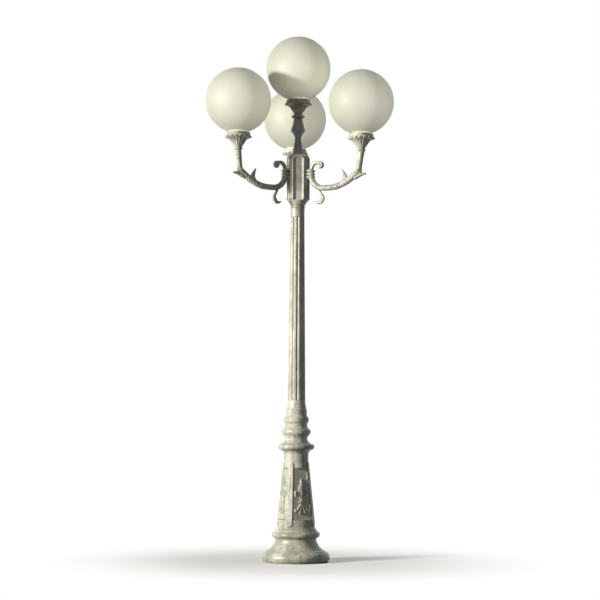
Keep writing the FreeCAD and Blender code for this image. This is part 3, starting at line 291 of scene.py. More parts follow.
def dress_cad_nodes():
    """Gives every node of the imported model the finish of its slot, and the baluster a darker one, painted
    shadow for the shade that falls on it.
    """
    slots = {part["node"]: part["material_slot"] for part in frame["record"]["subparts"]}
    for name, node in frame["nodes"].items():
        node.data.materials.clear()
        node.data.materials.append(PAINTED_SHADOW_METAL if name == "baluster" else FINISH[slots[name]])


dress_cad_nodes()


# ---------------------------------------------------------------- meshes

WELD_DISTANCE = 1e-4
SPLINE_STEPS = 8


def grid_mesh(rings, loop_closed=False):
    """Skins a list of rings, each of the same number of points; the ends join up or are closed with caps."""
    mesh = bmesh.new()
    rows = [[mesh.verts.new(point) for point in ring] for ring in rings]
    count = len(rows[0])
    last = len(rows) if loop_closed else len(rows) - 1
    for row in range(last):
        lower = rows[row]
        upper = rows[(row + 1) % len(rows)]
        for index in range(count):
            after = (index + 1) % count
            mesh.faces.new((lower[index], lower[after], upper[after], upper[index]))
    if not loop_closed:
        mesh.faces.new(list(reversed(rows[0])))
        mesh.faces.new(rows[-1])
    bmesh.ops.remove_doubles(mesh, verts=mesh.verts, dist=WELD_DISTANCE)
    bmesh.ops.recalc_face_normals(mesh, faces=mesh.faces)
    return mesh


def lathe(outline, turns):
    """A closed outline of (radius, height) turned about Z."""
    rings = []
    for step in range(turns):
        angle = 2 * math.pi * step / turns
        across, along = math.cos(angle), math.sin(angle)
        rings.append([(radius * across, radius * along, height) for radius, height in outline])
    return grid_mesh(rings, loop_closed=True)


def mesh_data(name, mesh):
    """Mesh data made from a working mesh, which is freed."""
    data = bpy.data.meshes.new(name)
    mesh.to_mesh(data)
    mesh.free()
    return data


def merged(meshes):
    """One mesh that holds all of them."""
    whole = bmesh.new()
    for mesh in meshes:
        data = mesh_data("loose", mesh)
        whole.from_mesh(data)
        bpy.data.meshes.remove(data)
    return whole


def cast_together(meshes, voxel, rounds):
    """Melts overlapping closed meshes into one skin, as a casting has, and rounds its inner corners."""
    data = mesh_data("casting", merged(meshes))
    holder = bpy.data.objects.new("casting", data)
    scene.collection.objects.link(holder)
    remesh = holder.modifiers.new("melt", "REMESH")
    remesh.mode = "VOXEL"
    remesh.voxel_size = voxel
    smooth = holder.modifiers.new("round", "SMOOTH")
    smooth.factor = 0.5
    smooth.iterations = rounds
    result = bpy.data.meshes.new_from_object(holder.evaluated_get(bpy.context.evaluated_depsgraph_get()))
    bpy.data.objects.remove(holder)
    bpy.data.meshes.remove(data)
    mesh = bmesh.new()
    mesh.from_mesh(result)
    bpy.data.meshes.remove(result)
    return mesh


def make_piece(name, mesh, stand, body, slot, nodes, smooth_angle=40.0, finish=None):
    """Turns a mesh in millimetres into a dressed object that stands for the nodes and rides on the body."""
    mesh.transform(Matrix.Diagonal((MM, MM, MM, 1.0)) @ stand)
    bmesh.ops.recalc_face_normals(mesh, faces=mesh.faces)
    for face in mesh.faces:
        face.smooth = True
    limit = math.radians(smooth_angle)
    for edge in mesh.edges:
        edge.smooth = edge.calc_face_angle(0.0) < limit
    data = mesh_data(name, mesh)
    data.materials.append(finish or FINISH[slot])
    piece = bpy.data.objects.new(name, data)
    scene.collection.objects.link(piece)
    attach(piece, body)
    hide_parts(*nodes)
    return piece


def smoothstep(low, high, value):
    share = min(max((value - low) / (high - low), 0.0), 1.0)
    return share * share * (3 - 2 * share)


def smooth_value(share, before, start, end, after):
    """A smooth curve's value at a share of the way from start to end, given the values on either side."""
    square = 2 * before - 5 * start + 4 * end - after
    cube = 3 * start - before - 3 * end + after
    return 0.5 * (2 * start + (end - before) * share + square * share * share + cube * share ** 3)


def spline(points):
    """Rows of a smooth curve through rows of numbers, SPLINE_STEPS to each span."""
    rows = [points[0], *points, points[-1]]
    result = []
    for index in range(1, len(rows) - 2):
        for step in range(SPLINE_STEPS):
            share = step / SPLINE_STEPS
            result.append([smooth_value(share, *values) for values in zip(*rows[index - 1:index + 3])])
    result.append(list(points[-1]))
    return result


def node_centre(node):
    """The middle of a CAD node's box, in millimetres."""
    low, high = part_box(node)
    return (low + high) / (2 * MM)


# ---------------------------------------------------------------- arms

ARM_AZIMUTHS = {"right": -30.0, "rear": 90.0, "left": 210.0}
ROOT_HEIGHT = 2377.0
ROOT_REACH = 95.0
HUB_FACE = 62.0
STEM_RADIUS = 18.0
FIRST_CURVE = 85.0
LOW_STRAIGHT = 30.0
SWEEP_RADIUS = 250.0
SWEEP_ANGLE = 36.0
OUTER_STRAIGHT = 54.0
ELBOW_RADIUS = 50.0
UPRIGHT_ANGLE = 82.2
LAST_BEND = 100.0
ARM_REACH = node_centre("globe_right").xy.length
CAD_GLOBE_RADIUS = 200.0
GLOBE_OVER_CUP = 285.0
CUP_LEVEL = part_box("globe_right")[1].z / MM - CAD_GLOBE_RADIUS - GLOBE_OVER_CUP
STATION_STEP = 2.5
SECTION_POINTS = 48


class Path:
    """Stations (x, z, heading, distance) along straight runs and arcs in the arm's plane."""

    def __init__(self, x, z, heading):
        self.stations = [(x, z, heading, 0.0)]

    def straight(self, length):
        x, z, heading, distance = self.stations[-1]
        count = max(1, round(length / STATION_STEP))
        for step in range(1, count + 1):
            part = length * step / count
            angle = math.radians(heading)
            self.stations.append((x + part * math.cos(angle), z + part * math.sin(angle),
                                  heading, distance + part))
        return self

    def turn(self, radius, angle):
        x, z, heading, distance = self.stations[-1]
        side = math.copysign(1.0, angle)
        towards = math.radians(heading + 90 * side)
        centre = (x + radius * math.cos(towards), z + radius * math.sin(towards))
        length = radius * math.radians(abs(angle))
        count = max(1, round(length / STATION_STEP))
        for step in range(1, count + 1):
            turned = angle * step / count
            away = towards + math.radians(turned)
            self.stations.append((centre[0] - radius * math.cos(away), centre[1] - radius * math.sin(away),
                                  heading + turned, distance + length * step / count))
        return self


def skin(stations, radius_at):
    """A bar along stations: radius_at(distance, angle) gives the in-plane and sideways radii at an angle.

    The angle runs round the section from the inner side of the curve, over the side that faces -Y.
    """
    rings = []
    for x, z, heading, distance in stations:
        across = math.radians(heading + 90)
        ring = []
        for index in range(SECTION_POINTS):
            angle = 2 * math.pi * index / SECTION_POINTS
            in_plane, sideways = radius_at(distance, angle)
            reach = in_plane * math.cos(angle)
            ring.append((x + reach * math.cos(across), sideways * math.sin(angle),
                         z + reach * math.sin(across)))
        rings.append(ring)
    return grid_mesh(rings)


SHEATH_START = 190.0
SHEATH_END = 400.0
SHEATH_LOBES = 5
LOBE_SLANT = 0.35
VEIN_SLANT = 1.3
VEIN_HEIGHT = 0.9
KEEL_HEIGHT = 1.2
KEEL_WIDTH = 0.16
STEM_GROOVE_OFF_SIDE = 0.62
STEM_GROOVE_WIDTH = 0.13
STEM_GROOVE_DEPTH = 1.6
STEM_SLIMMING = 1.5


def leaf_relief(distance, angle):
    """How far the leaf that wraps the stem's outer half stands above it: lobed, with oblique veins."""
    along = (distance - SHEATH_START) / (SHEATH_END - SHEATH_START)
    if along <= 0 or along >= 1:
        return 0.0
    from_keel = abs(angle - math.pi)
    lobe = abs(math.sin(math.pi * (SHEATH_LOBES * along - LOBE_SLANT * from_keel)))
    half_width = (1.55 + 0.75 * lobe) * smoothstep(0.0, 0.22, along)
    raised = (1.4 + 2.4 * smoothstep(0.35, 0.65, along)) * smoothstep(0.0, 0.20, half_width - from_keel)
    veins = VEIN_HEIGHT * math.cos(2 * math.pi * (2 * SHEATH_LOBES * along - VEIN_SLANT * from_keel))
    keel = KEEL_HEIGHT * math.exp(-(from_keel / KEEL_WIDTH) ** 2)
    return raised + (veins + keel) * smoothstep(0.05, 0.5, half_width - from_keel)


def stem_section(distance, angle):
    """The stem is round with two shallow grooves on each side, and swells into its leaf."""
    groove = 0.0
    for side in (-1, 1):
        for place in (math.pi / 2 - STEM_GROOVE_OFF_SIDE, math.pi / 2 + STEM_GROOVE_OFF_SIDE):
            off = math.remainder(angle - side * place, 2 * math.pi)
            groove += STEM_GROOVE_DEPTH * math.exp(-(off / STEM_GROOVE_WIDTH) ** 2)
    fade = 1 - smoothstep(SHEATH_START - 20, SHEATH_START + 40, distance)
    slim = STEM_SLIMMING * smoothstep(365.0, 410.0, distance)
    radius = STEM_RADIUS - groove * fade - slim + leaf_relief(distance, angle)
    return radius, radius


def arm_route():
    """The stem's centreline from the root to the foot of the upright."""
    path = Path(ROOT_REACH, ROOT_HEIGHT, -90.0).turn(FIRST_CURVE, 90).straight(LOW_STRAIGHT)
    path.turn(SWEEP_RADIUS, SWEEP_ANGLE).straight(OUTER_STRAIGHT)
    return path.turn(ELBOW_RADIUS, UPRIGHT_ANGLE - SWEEP_ANGLE)


UPRIGHT_OVERLAP = 12.0
UPRIGHT_FOOT_RADIUS = 17.0
UPRIGHT_WIDENING = 4.5
UPRIGHT_FLUTES = 8
UPRIGHT_FLUTE_DEPTH = 0.9
UPRIGHT_END_UNDER_CUP = 14.0
RING_RADIUS = 24.0
RING_UNDER_CUP = 10.0
RING_BULGE = 4.0
RING_HALF_HEIGHT = 7.0
RING_STEPS = 8


def upright():
    """The trumpet that carries the cup, with eight shallow flutes, and the ring at its top."""
    x, z, heading, _ = arm_route().stations[-1]
    lean = math.radians(heading)
    tangent = LAST_BEND * math.tan(math.radians((90 - UPRIGHT_ANGLE) / 2))
    rise = (ARM_REACH - x) / math.cos(lean)
    path = Path(x - UPRIGHT_OVERLAP * math.cos(lean), z - UPRIGHT_OVERLAP * math.sin(lean), heading)
    path.straight(rise - tangent + UPRIGHT_OVERLAP).turn(LAST_BEND, 90 - UPRIGHT_ANGLE)
    path.straight(CUP_LEVEL - UPRIGHT_END_UNDER_CUP - path.stations[-1][1])
    length = path.stations[-1][3]

    def section(distance, angle):
        share = distance / length
        flute = UPRIGHT_FLUTE_DEPTH * abs(math.cos(UPRIGHT_FLUTES / 2 * angle)) * (1 - share)
        radius = UPRIGHT_FOOT_RADIUS + UPRIGHT_WIDENING * share ** 1.2 - flute
        return radius, radius

    profile = [(0.0, -20.0), (20.0, -20.0), (24.5, -18.5)]
    for step in range(RING_STEPS + 1):
        angle = math.pi * (step / RING_STEPS - 0.5)
        profile.append((RING_RADIUS + RING_BULGE * math.cos(angle),
                        RING_HALF_HEIGHT * math.sin(angle) - RING_UNDER_CUP))
    profile += [(24.0, -1.5), (23.0, 0.0), (0.0, 0.0)]
    top = lathe([(radius, height + CUP_LEVEL) for radius, height in profile], 64)
    top.transform(Matrix.Translation((ARM_REACH, 0, 0)))
    return [skin(path.stations, section), top]


ROOT_BEADS = (-13.0, 6.0, 25.0)
ROOT_BEAD_RISE = 8.0
ROOT_BEAD_HALF_HEIGHT = 5.4
ROOT_WIDTH = 16.0
ROOT_LOW = -25.0
ROOT_HIGH = 38.0
NOSE_LOW = -20.0
NOSE_HIGH = 33.0
END_NOSE = 6.0
ROOT_ROWS = 60
ROOT_TURNS = 24


def root_block():
    """The root, half round in front with three beads and short of that at both ends, against the hub."""
    rings = []
    for step in range(ROOT_ROWS + 1):
        above = ROOT_LOW + (ROOT_HIGH - ROOT_LOW) * step / ROOT_ROWS
        beads = (math.exp(-((above - middle) / ROOT_BEAD_HALF_HEIGHT) ** 4) for middle in ROOT_BEADS)
        width = ROOT_WIDTH + ROOT_BEAD_RISE * sum(beads)
        nose = width if NOSE_LOW < above < NOSE_HIGH else END_NOSE
        height = ROOT_HEIGHT + above
        ring = [(HUB_FACE, width, height), (HUB_FACE, -width, height)]
        for turn in range(ROOT_TURNS + 1):
            angle = math.pi * (turn / ROOT_TURNS - 0.5)
            ring.append((ROOT_REACH + nose * math.cos(angle), width * math.sin(angle), height))
        rings.append(ring)
    return grid_mesh(rings)


CREASE_DEPTH = 0.16
CREASE_WIDTH = 0.30


def leaf(points):
    """A leaf or horn along rows of (x, z above the root, half thickness in plane, half width sideways)."""
    rows = spline(points)
    stations = []
    for index, row in enumerate(rows):
        behind = rows[max(index - 1, 0)]
        ahead = rows[min(index + 1, len(rows) - 1)]
        heading = math.degrees(math.atan2(ahead[1] - behind[1], ahead[0] - behind[0]))
        stations.append((row[0], row[1] + ROOT_HEIGHT, heading, float(index)))

    def section(distance, angle):
        row = rows[int(distance)]
        off_side = math.remainder(angle - math.pi / 2, math.pi)
        crease = 1 - CREASE_DEPTH * math.exp(-(off_side / CREASE_WIDTH) ** 2)
        return row[2], row[3] * crease

    return skin(stations, section)


def arm_leaves():
    """The drop leaf and its knob under the stem, the thorn above it and the leaves at the upright's foot."""
    drop = leaf([
        (153, -86, 11, 10), (152, -100, 8, 8), (157, -112, 8, 7.5), (166, -126, 10, 8), (172, -140, 13, 9),
        (171, -153, 15, 9.5), (163, -166, 14, 9), (150, -174, 11, 8), (137, -174, 7.5, 7),
        (127, -170, 4.5, 5.5), (119, -164, 1.2, 2),
    ])
    knob = leaf([
        (145, -94, 2, 2), (147, -94, 9, 9), (152, -95, 12.5, 12), (157, -96, 9, 9), (159, -96, 2, 2),
    ])
    thorn = leaf([
        (318, -62, 22, 15), (325, -44, 20, 14), (327, -28, 15, 12.5), (322, -12, 12.5, 10.5),
        (316, 2, 8.5, 8), (309, 15, 5, 5), (302, 28, 1, 1.2),
    ])
    outer = leaf([
        (388, -30, 17, 17), (404, -26, 15, 16), (420, -20, 12.5, 14), (436, -15.5, 10.5, 11.5),
        (450, -13.5, 8.5, 9), (461, -13.5, 6.5, 6.5), (468, -14, 4, 4), (470.5, -14, 1, 1.2),
    ])
    calyx = [
        leaf([(388, -20, 9, 14), (399, -4, 6.5, 12), (404, 12, 3.5, 8), (405, 26, 1, 1.5)]),
        leaf([(416, -24, 9, 14), (429, -8, 6, 12), (436, 8, 3.5, 8), (440, 20, 1, 1.5)]),
    ]
    return [drop, knob, thorn, outer, *calyx]


SCROLL_RISE = 24.0
SCROLL_STRAIGHT = 12.0
SCROLL_RADIUS = 40.0
SCROLL_TURN = -110
SCROLL_EYE = (157.0, ROOT_HEIGHT + 57.0)
SCROLL_WINDING = math.radians(400.0)
SCROLL_STEPS = 90
SCROLL_CURL_LENGTH = 80.0
SCROLL_BAR = 13.0
SCROLL_THINNING = 7.0
SCROLL_WIDENING = 1.5
SCROLL_GROOVE_DEPTH = 1.3
SCROLL_GROOVE_WIDTH = 0.35
BUTTON_OUTLINE = [(0.0, -16.5), (4.5, -15.8), (7.5, -13.0), (7.5, 13.0), (4.5, 15.8), (0.0, 16.5)]
ROLL_OUTLINE = [(0.0, -13.0), (12.0, -13.0), (18.0, -9.0), (20.5, 0.0), (18.0, 9.0), (12.0, 13.0), (0.0, 13.0)]


def scroll():
    """The upper scroll: a bar that rises from the root, turns out and winds in to a roll with a button."""
    path = Path(ROOT_REACH, ROOT_HEIGHT + SCROLL_RISE, 90.0).straight(SCROLL_STRAIGHT)
    path.turn(SCROLL_RADIUS, SCROLL_TURN)
    eye_x, eye_z = SCROLL_EYE
    x, z, _, distance = path.stations[-1]
    start = math.atan2(z - eye_z, x - eye_x)
    reach = math.hypot(x - eye_x, z - eye_z)
    for step in range(1, SCROLL_STEPS + 1):
        share = step / SCROLL_STEPS
        angle = start - SCROLL_WINDING * share
        radius = reach * (1 - share) ** 0.6 + 1.0
        path.stations.append((eye_x + radius * math.cos(angle), eye_z + radius * math.sin(angle),
                              math.degrees(angle) - 90.0, distance + share * SCROLL_CURL_LENGTH))

    def section(at, angle):
        share = smoothstep(distance - 45.0, distance + 28.0, at)
        off_side = math.remainder(angle - math.pi / 2, math.pi)
        groove = SCROLL_GROOVE_DEPTH * math.exp(-(off_side / SCROLL_GROOVE_WIDTH) ** 2)
        return SCROLL_BAR - SCROLL_THINNING * share, SCROLL_BAR + SCROLL_WIDENING * share - groove

    button = lathe(BUTTON_OUTLINE, 32)
    roll = lathe(ROLL_OUTLINE, 48)
    for turned in (button, roll):
        turned.transform(Matrix.Translation((eye_x, 0, eye_z)) @ Matrix.Rotation(math.pi / 2, 4, "X"))
    return [skin(path.stations, section), roll, button]


ARM_VOXEL = 1.5
ARM_SMOOTHING = 3


def arms():
    """One casting, melted together once and stood at each arm's azimuth."""
    stem = skin(arm_route().stations, stem_section)
    parts = [stem, root_block(), *upright(), *arm_leaves(), *scroll()]
    casting = cast_together(parts, ARM_VOXEL, ARM_SMOOTHING)
    for side, azimuth in ARM_AZIMUTHS.items():
        stand = Matrix.Rotation(math.radians(azimuth), 4, "Z")
        make_piece(f"arm_casting_{side}", casting.copy(), stand, POST, "cast_metal", [f"arm_{side}"],
                   smooth_angle=70.0, finish=CARVED)
    casting.free()


arms()


# ---------------------------------------------------------------- cups and globes

CUP_LOBES = 18
LOBE_POINTS = 12
RIM_RADIUS = 60
RIM_DROOP = 0.45
CUP_OUTLINE = [
    # radius, height, depth of the grooves between lobes
    (6.5, 0.0, 0.0), (24.0, 0.0, 0.0), (26.5, 1.5, 0.0), (27.0, 4.0, 0.0), (28.0, 6.0, 0.0), (31.0, 9.0, 0.6),
    (34.0, 13.5, 1.4), (37.8, 20.0, 2.2), (41.8, 26.5, 3.0), (46.0, 33.0, 3.8), (50.5, 39.0, 4.8),
    (55.5, 45.0, 6.0), (61.0, 50.0, 7.2), (68.0, 53.5, 8.4), (76.0, 56.0, 9.4), (83.0, 58.0, 10.0),
    (85.6, 59.5, 10.2), (86.0, 61.0, 10.0), (84.0, 62.8, 7.5), (80.5, 64.2, 3.5), (77.5, 66.0, 0.5),
    (75.8, 69.0, 0.0), (75.5, 80.0, 0.0), (75.0, 84.0, 0.0), (73.5, 86.0, 0.0), (71.0, 86.0, 0.0),
    (68.0, 85.0, 0.0), (68.0, 68.0, 0.0), (50.0, 68.0, 0.0), (50.0, 55.0, 0.0), (26.0, 18.0, 0.0),
    (6.5, 18.0, 0.0),
]


def cup():
    """Flared cup of rounded ribs with open grooves between them and a scalloped rim, under a plain collar."""
    rings = []
    count = CUP_LOBES * LOBE_POINTS
    for step in range(count):
        angle = 2 * math.pi * step / count
        groove = smoothstep(0.45, 0.85, abs(math.sin(CUP_LOBES * angle / 2)))
        ring = []
        for radius, height, depth in CUP_OUTLINE:
            out = radius - depth * groove
            drop = RIM_DROOP * depth * groove if radius > RIM_RADIUS else 0.0
            ring.append((out * math.cos(angle), out * math.sin(angle), height - drop))
        rings.append(ring)
    return grid_mesh(rings, loop_closed=True)


GLOBE_INSET = 0.05
GLOBE_RADIUS = CAD_GLOBE_RADIUS - GLOBE_INSET
GLOBE_WALL = 3.0
NECK_RADIUS = 62.0
GLOBE_FOOT = -214.0
LIP_WIDTH = 3.0
LIP_HEIGHT = 4.0
LIP_TOP = 6.0
MERIDIAN_STEPS = 72
GLOBE_TURNS = 128


def globe():
    """Opal sphere with its lipped neck, as a thin shell."""
    def meridian(radius, neck):
        low = -math.acos(neck / radius)
        points = []
        for step in range(MERIDIAN_STEPS + 1):
            angle = low + (math.pi / 2 - low) * step / MERIDIAN_STEPS
            points.append((radius * math.cos(angle), radius * math.sin(angle)))
        return points

    inner_neck = NECK_RADIUS - GLOBE_WALL
    lip = NECK_RADIUS + LIP_WIDTH
    outline = [(inner_neck, GLOBE_FOOT), (lip, GLOBE_FOOT), (lip, GLOBE_FOOT + LIP_HEIGHT)]
    outline.append((NECK_RADIUS, GLOBE_FOOT + LIP_TOP))
    outline += meridian(GLOBE_RADIUS, NECK_RADIUS)
    outline += reversed(meridian(GLOBE_RADIUS - GLOBE_WALL, inner_neck))
    return lathe(outline, GLOBE_TURNS)


def lamps():
    """A cup and a globe at each CAD globe's place."""
    for side in ("top", *ARM_AZIMUTHS):
        middle = node_centre(f"globe_{side}")
        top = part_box(f"globe_{side}")[1].z / MM
        centre = Vector((middle.x, middle.y, top - GLOBE_RADIUS))
        foot = centre - Vector((0, 0, GLOBE_OVER_CUP))
        # The top cup takes the darker finish: painted shadow for the shade cast on it.
        make_piece(f"lobed_cup_{side}", cup(), Matrix.Translation(foot), POST, "cast_metal", [f"cup_{side}"],
                   smooth_angle=60.0, finish=PAINTED_SHADOW_RIBBED if side == "top" else RIBBED)
        make_piece(f"opal_shell_{side}", globe(), Matrix.Translation(centre), POST, "opal_globe",
                   [f"globe_{side}"])


lamps()


# ---------------------------------------------------------------- hub

HUB_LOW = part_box("hub")[0].z / MM
HUB_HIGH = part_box("hub")[1].z / MM
HUB_BORE = 38.0
FACE_STEP = 60.0
WIDE_FACE = 60.0
ARM_FACE = 67.5
PANEL_DEPTH = 5.0
BEAD_RISE = 9.5
BEAD_INSET = 7.2
BEAD_RADIUS = 7.6
COVE_RISE = 1.8
ARCH_RADIUS = 19.0
ARCH_UNDER_TOP = 13.0
HUB_END_RADII = (66.0, 68.0)
HUB_END_SLOPES = (1.25, 1.3)
HUB_RADIUS = 79.0
FACE_COLUMNS = 56
HUB_ROWS = 150


def half_side(distance, neighbour):
    """Half the width of a face at a distance from the axis, between faces at the neighbours' distance."""
    step = math.radians(FACE_STEP)
    return (neighbour - distance * math.cos(step)) / math.sin(step)


def frame_height(across, up, half, height):
    """Height of the bead that arches over a face, above the face's floor, at a point of the face."""
    side = abs(across) - (half - BEAD_INSET - ARCH_RADIUS)
    end = up - (height - ARCH_UNDER_TOP - ARCH_RADIUS)
    outside = math.hypot(max(side, 0.0), max(end, 0.0)) + min(max(side, end), 0.0) - ARCH_RADIUS
    bead = 0.0
    if abs(outside) < BEAD_RADIUS:
        foot = min(up / BEAD_RADIUS, 1.0)
        bead = BEAD_RISE * math.sqrt(1 - (outside / BEAD_RADIUS) ** 2) * math.sqrt(foot * (2 - foot))
    cove = 0.0
    if outside < 0:
        cove = COVE_RISE * (1 - smoothstep(BEAD_RADIUS - 2.0, BEAD_RADIUS + 6.0, -outside))
    return max(bead, cove)


def hub():
    """Six-sided block whose faces have bold rounded arches, open at their feet, with its ends drawn in."""
    height = HUB_HIGH - HUB_LOW
    wide = WIDE_FACE - PANEL_DEPTH
    narrow = ARM_FACE - PANEL_DEPTH
    columns = []
    for azimuth in ARM_AZIMUTHS.values():
        columns.append((azimuth, narrow, half_side(narrow, wide)))
        columns.append((azimuth + FACE_STEP, wide, half_side(wide, narrow)))
    rings = []
    for azimuth, distance, half in sorted(columns):
        turn = Matrix.Rotation(math.radians(azimuth), 3, "Z")
        for column in range(FACE_COLUMNS):
            across = half * (2 * column / FACE_COLUMNS - 1)
            bore = turn @ Vector((distance, across, 0.0)).normalized() * HUB_BORE
            ring = [bore + Vector((0, 0, HUB_LOW))]
            for row in range(HUB_ROWS + 1):
                up = height * row / HUB_ROWS
                point = turn @ Vector((distance + frame_height(across, up, half, height), across, 0.0))
                low_limit = HUB_END_RADII[0] + HUB_END_SLOPES[0] * up
                high_limit = HUB_END_RADII[1] + HUB_END_SLOPES[1] * (height - up)
                limit = min(low_limit, high_limit, HUB_RADIUS)
                if point.length > limit:
                    point = point.normalized() * limit
                ring.append(point + Vector((0, 0, HUB_LOW + up)))
            ring.append(bore + Vector((0, 0, HUB_HIGH)))
            rings.append(ring)
    return grid_mesh(rings, loop_closed=True)


make_piece("framed_hub", hub(), Matrix.Identity(4), POST, "cast_metal", ["hub"], smooth_angle=50.0)


# ---------------------------------------------------------------- lily reliefs

DOOR_AZIMUTH = -68.0
PANEL_COUNT = 4
PANEL_SHARE = 0.84
PANEL_FOOT = 255.0
CONE_LOW = 214.0
CONE_HIGH = 604.0
CONE_LOW_RADIUS = 115.2
CONE_HIGH_RADIUS = 75.0
CONE_SLOPE = (CONE_LOW_RADIUS - CONE_HIGH_RADIUS) / (CONE_HIGH - CONE_LOW)
PANEL_LEAN = math.atan(PANEL_SHARE * CONE_SLOPE)
PANEL_DISTANCE = PANEL_SHARE * (CONE_HIGH_RADIUS + (CONE_HIGH - PANEL_FOOT) * CONE_SLOPE)
BAND_HEIGHT = 111.0
LILY_NARROWING = 0.84
LILY_VOXEL = 0.9
LILY_SMOOTHING = 2
PETAL_STEPS = 16
PETAL_EDGE = 0.6
PETAL_BACK = -1.2


def panel_stand(azimuth):
    """Stands a relief drawn flat (X right, Y up the panel, Z outwards) on the panel at an azimuth."""
    turn = Matrix.Rotation(math.radians(azimuth), 4, "Z")
    foot = Matrix.Translation((PANEL_DISTANCE, 0, PANEL_FOOT))
    lean = Matrix.Rotation(math.pi / 2, 4, "Z") @ Matrix.Rotation(math.pi / 2 - PANEL_LEAN, 4, "X")
    return turn @ foot @ lean @ Matrix.Translation((0, BAND_HEIGHT, 0))


def petal(points, keel):
    """A petal along rows of (x, y, half width, rise), flat behind; keel is 1 for a ridge, 2 for a dome."""
    rows = spline(points)
    rings = []
    for index, (x, y, width, rise) in enumerate(rows):
        behind = rows[max(index - 1, 0)]
        ahead = rows[min(index + 1, len(rows) - 1)]
        heading = math.atan2(ahead[1] - behind[1], ahead[0] - behind[0])
        side = (-math.sin(heading) * width, math.cos(heading) * width)
        ring = []
        for step in range(PETAL_STEPS + 1):
            share = 2 * step / PETAL_STEPS - 1
            height = rise * (1 - abs(share) ** keel) + PETAL_EDGE
            ring.append((x + side[0] * share, y + side[1] * share, height))
        ring += [(x + side[0], y + side[1], PETAL_BACK), (x - side[0], y - side[1], PETAL_BACK)]
        rings.append(ring)
    return grid_mesh(rings)


def lily():
    """The relief of a fleur-de-lis: a spearhead, curled side petals, a knobbed band and five roots."""
    pieces = [petal([
        (0, 2, 9, 8), (0, 24, 11, 9), (0, 48, 18, 11), (0, 72, 27, 12.5), (0, 90, 26, 12), (0, 104, 14, 9),
        (0, 112, 9, 8), (0, 121, 11, 8.5), (0, 131, 7, 6), (0, 143, 0.8, 1.5),
    ], 1.5)]
    for side in (-1, 1):
        pieces.append(petal([
            (side * 4, 4, 5, 5), (side * 11, 22, 6, 6.5), (side * 20, 40, 7.5, 7.5), (side * 31, 57, 8, 8),
            (side * 42, 63, 7.5, 8), (side * 50, 57, 7, 7.5), (side * 50, 45, 6.5, 7), (side * 43, 38, 6.5, 7),
            (side * 38, 42, 5, 6),
        ], 1.7))
        pieces.append(petal([
            (side * 5, -6, 5, 5), (side * 16, -20, 5.5, 6), (side * 30, -38, 6, 6.5), (side * 44, -54, 6.5, 7),
            (side * 53, -57, 6, 6.5), (side * 56, -48, 5, 6), (side * 50, -43, 3.5, 5),
        ], 1.7))
        pieces.append(petal([
            (side * 2, -6, 5.5, 6), (side * 7, -26, 6.5, 7), (side * 13, -46, 7.5, 8), (side * 18, -60, 9, 9),
            (side * 20, -70, 7, 7), (side * 21, -75, 1, 2),
        ], 1.9))
        pieces.append(petal([
            (side * 14, 0, 2, 3), (side * 15, 0, 6, 7), (side * 19, 0, 7, 7.5), (side * 23, 0, 6, 7),
            (side * 25, 0, 1, 3),
        ], 2.0))
    pieces.append(petal([
        (0, -8, 3, 4), (0, -28, 4, 5), (0, -44, 5, 5.5), (0, -54, 4, 5), (0, -60, 0.8, 2),
    ], 1.8))
    pieces.append(petal([
        (-22, 0, 6, 7), (-10, 0, 7.5, 10.5), (0, 0, 8, 12), (10, 0, 7.5, 10.5), (22, 0, 6, 7),
    ], 2.0))
    relief = cast_together(pieces, LILY_VOXEL, LILY_SMOOTHING)
    relief.transform(Matrix.Diagonal((LILY_NARROWING, 1.0, 1.0, 1.0)))
    return relief


def lilies():
    """One lily that rides on the door, and one piece that holds the other panels' three."""
    relief = lily()
    make_piece("lily_on_door", relief.copy(), panel_stand(DOOR_AZIMUTH), "door", "cast_metal",
               ["door_ornament"], smooth_angle=60.0)
    group = []
    for index in range(1, PANEL_COUNT):
        copy = relief.copy()
        copy.transform(panel_stand(DOOR_AZIMUTH + index * 360.0 / PANEL_COUNT))
        group.append(copy)
    relief.free()
    make_piece("lilies_on_panels", merged(group), Matrix.Identity(4), POST, "cast_metal",
               ["panel_ornaments"], smooth_angle=60.0)


lilies()


# ---------------------------------------------------------------- floor, light and background

FLOOR_SIZE = 60.0
FLOOR_DROP = 0.0005
FADE_START = 0.4
FADE_END = 1.6
FILL_COLOUR = (0.88, 0.94, 1.0, 1.0)
FILL_STRENGTH = 0.035
WHITE = (1.0, 1.0, 1.0, 1.0)
SUNNY = (1.0, 0.97, 0.89)
HAZY = (1.0, 0.98, 0.93)
LAMP_AIM = Vector((0.0, 0.0, 1.9))


def seen_rays(tree):
    """1 for the camera's rays and for those in reflections and through glass, 0 for every other ray."""
    path = tree.nodes.new("ShaderNodeLightPath")
    seen = path.outputs["Is Camera Ray"]
    for kind in ("Is Glossy Ray", "Is Transmission Ray"):
        either = tree.nodes.new("ShaderNodeMath")
        either.operation = "MAXIMUM"
        tree.links.new(seen, either.inputs[0])
        tree.links.new(path.outputs[kind], either.inputs[1])
        seen = either.outputs["Value"]
    return seen


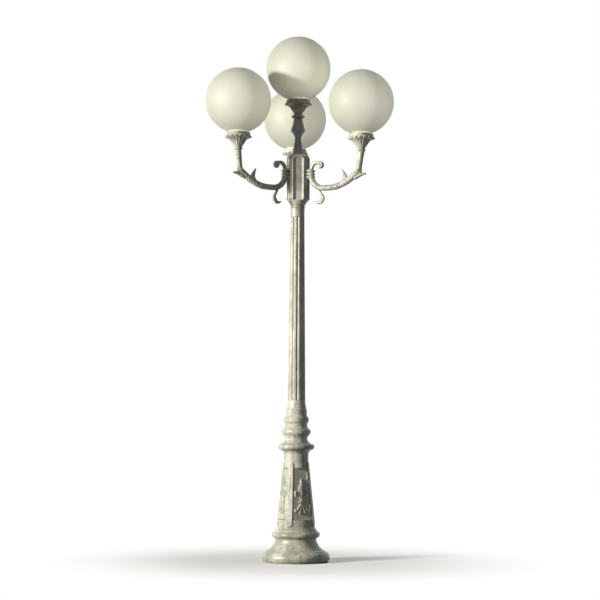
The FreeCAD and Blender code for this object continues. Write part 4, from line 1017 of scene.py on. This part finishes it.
def floor():
    """Pale floor that keeps the post's shadow near it and runs out into the white background."""
    n = Nodes("floor_finish")
    seen = seen_rays(n.tree)
    n.finish(n.mix(seen, rgb(96, 97, 96), rgb(250, 250, 248)), 0.9, Specular_IOR_Level=0.0)
    flat = n.add("ShaderNodeVectorMath", operation="LENGTH")
    n.join(n.place, flat.inputs[0])
    far = n.ramp(flat.outputs["Value"], FADE_START, FADE_END)
    white = n.add("ShaderNodeEmission")
    white.inputs["Strength"].default_value = 1.0
    blend = n.add("ShaderNodeMixShader")
    n.join(n.math("MULTIPLY", seen, far), blend.inputs[0])
    n.join(n.shader.outputs["BSDF"], blend.inputs[1])
    n.join(white.outputs["Emission"], blend.inputs[2])
    n.join(blend.outputs["Shader"], n.tree.nodes["Material Output"].inputs["Surface"])
    mesh = bmesh.new()
    bmesh.ops.create_grid(mesh, x_segments=2, y_segments=2, size=FLOOR_SIZE / 2)
    data = mesh_data("floor", mesh)
    data.materials.append(n.material)
    piece = bpy.data.objects.new("floor", data)
    piece.location.z = -FLOOR_DROP
    scene.collection.objects.link(piece)
    return piece


def background():
    """A faint cool fill light, which the camera and reflections see as white."""
    world = bpy.data.worlds.new("studio")
    world.use_nodes = True
    scene.world = world
    tree = world.node_tree
    blend = tree.nodes.new("ShaderNodeMixShader")
    tree.links.new(seen_rays(tree), blend.inputs[0])
    fill = tree.nodes["Background"]
    white = tree.nodes.new("ShaderNodeBackground")
    for index, (node, colour, strength) in enumerate(((fill, FILL_COLOUR, FILL_STRENGTH), (white, WHITE, 1.0))):
        node.inputs["Color"].default_value = colour
        node.inputs["Strength"].default_value = strength
        tree.links.new(node.outputs["Background"], blend.inputs[index + 1])
    tree.links.new(blend.outputs["Shader"], tree.nodes["World Output"].inputs["Surface"])


def soft_lamp(name, azimuth, elevation, distance, size, power, colour, lit, left_out=(), shadow=True):
    """A square lamp that shines on the pieces in lit, or on all but those in left_out."""
    data = bpy.data.lights.new(name, "AREA")
    data.size = size
    data.energy = power
    data.color = colour
    data.use_shadow = shadow
    lamp = bpy.data.objects.new(name, data)
    scene.collection.objects.link(lamp)
    turn, rise = math.radians(azimuth), math.radians(elevation)
    away = Vector((math.cos(turn) * math.cos(rise), math.sin(turn) * math.cos(rise), math.sin(rise)))
    facing = away.to_track_quat("Z", "Y").to_matrix().to_4x4()
    lamp.matrix_world = Matrix.Translation(LAMP_AIM + away * distance) @ facing
    group = bpy.data.collections.new(f"{name}_shines_on")
    for piece in (*lit, *left_out):
        group.objects.link(piece)
    for entry in group.collection_objects:
        entry.light_linking.link_state = "INCLUDE"
    for index in range(len(lit), len(lit) + len(left_out)):
        group.collection_objects[index].light_linking.link_state = "EXCLUDE"
    lamp.light_linking.receiver_collection = group


ground = floor()
globes = [scene.objects[f"opal_shell_{side}"] for side in ("top", *ARM_AZIMUTHS)]
background()
soft_lamp("key", 207.0, 8.0, 9.0, 1.2, 1180.0, SUNNY, (), (*globes, ground))
soft_lamp("key_on_globes", 209.0, 7.0, 9.0, 0.8, 610.0, SUNNY, globes)
soft_lamp("sky_on_globes", 300.0, 0.0, 9.0, 6.0, 385.0, HAZY, globes, shadow=False)
soft_lamp("sky_on_floor", 0.0, 80.0, 6.0, 3.0, 300.0, WHITE[:3], [ground])
soft_lamp("key_on_floor", 209.0, 7.0, 9.0, 1.4, 900.0, SUNNY, [ground])
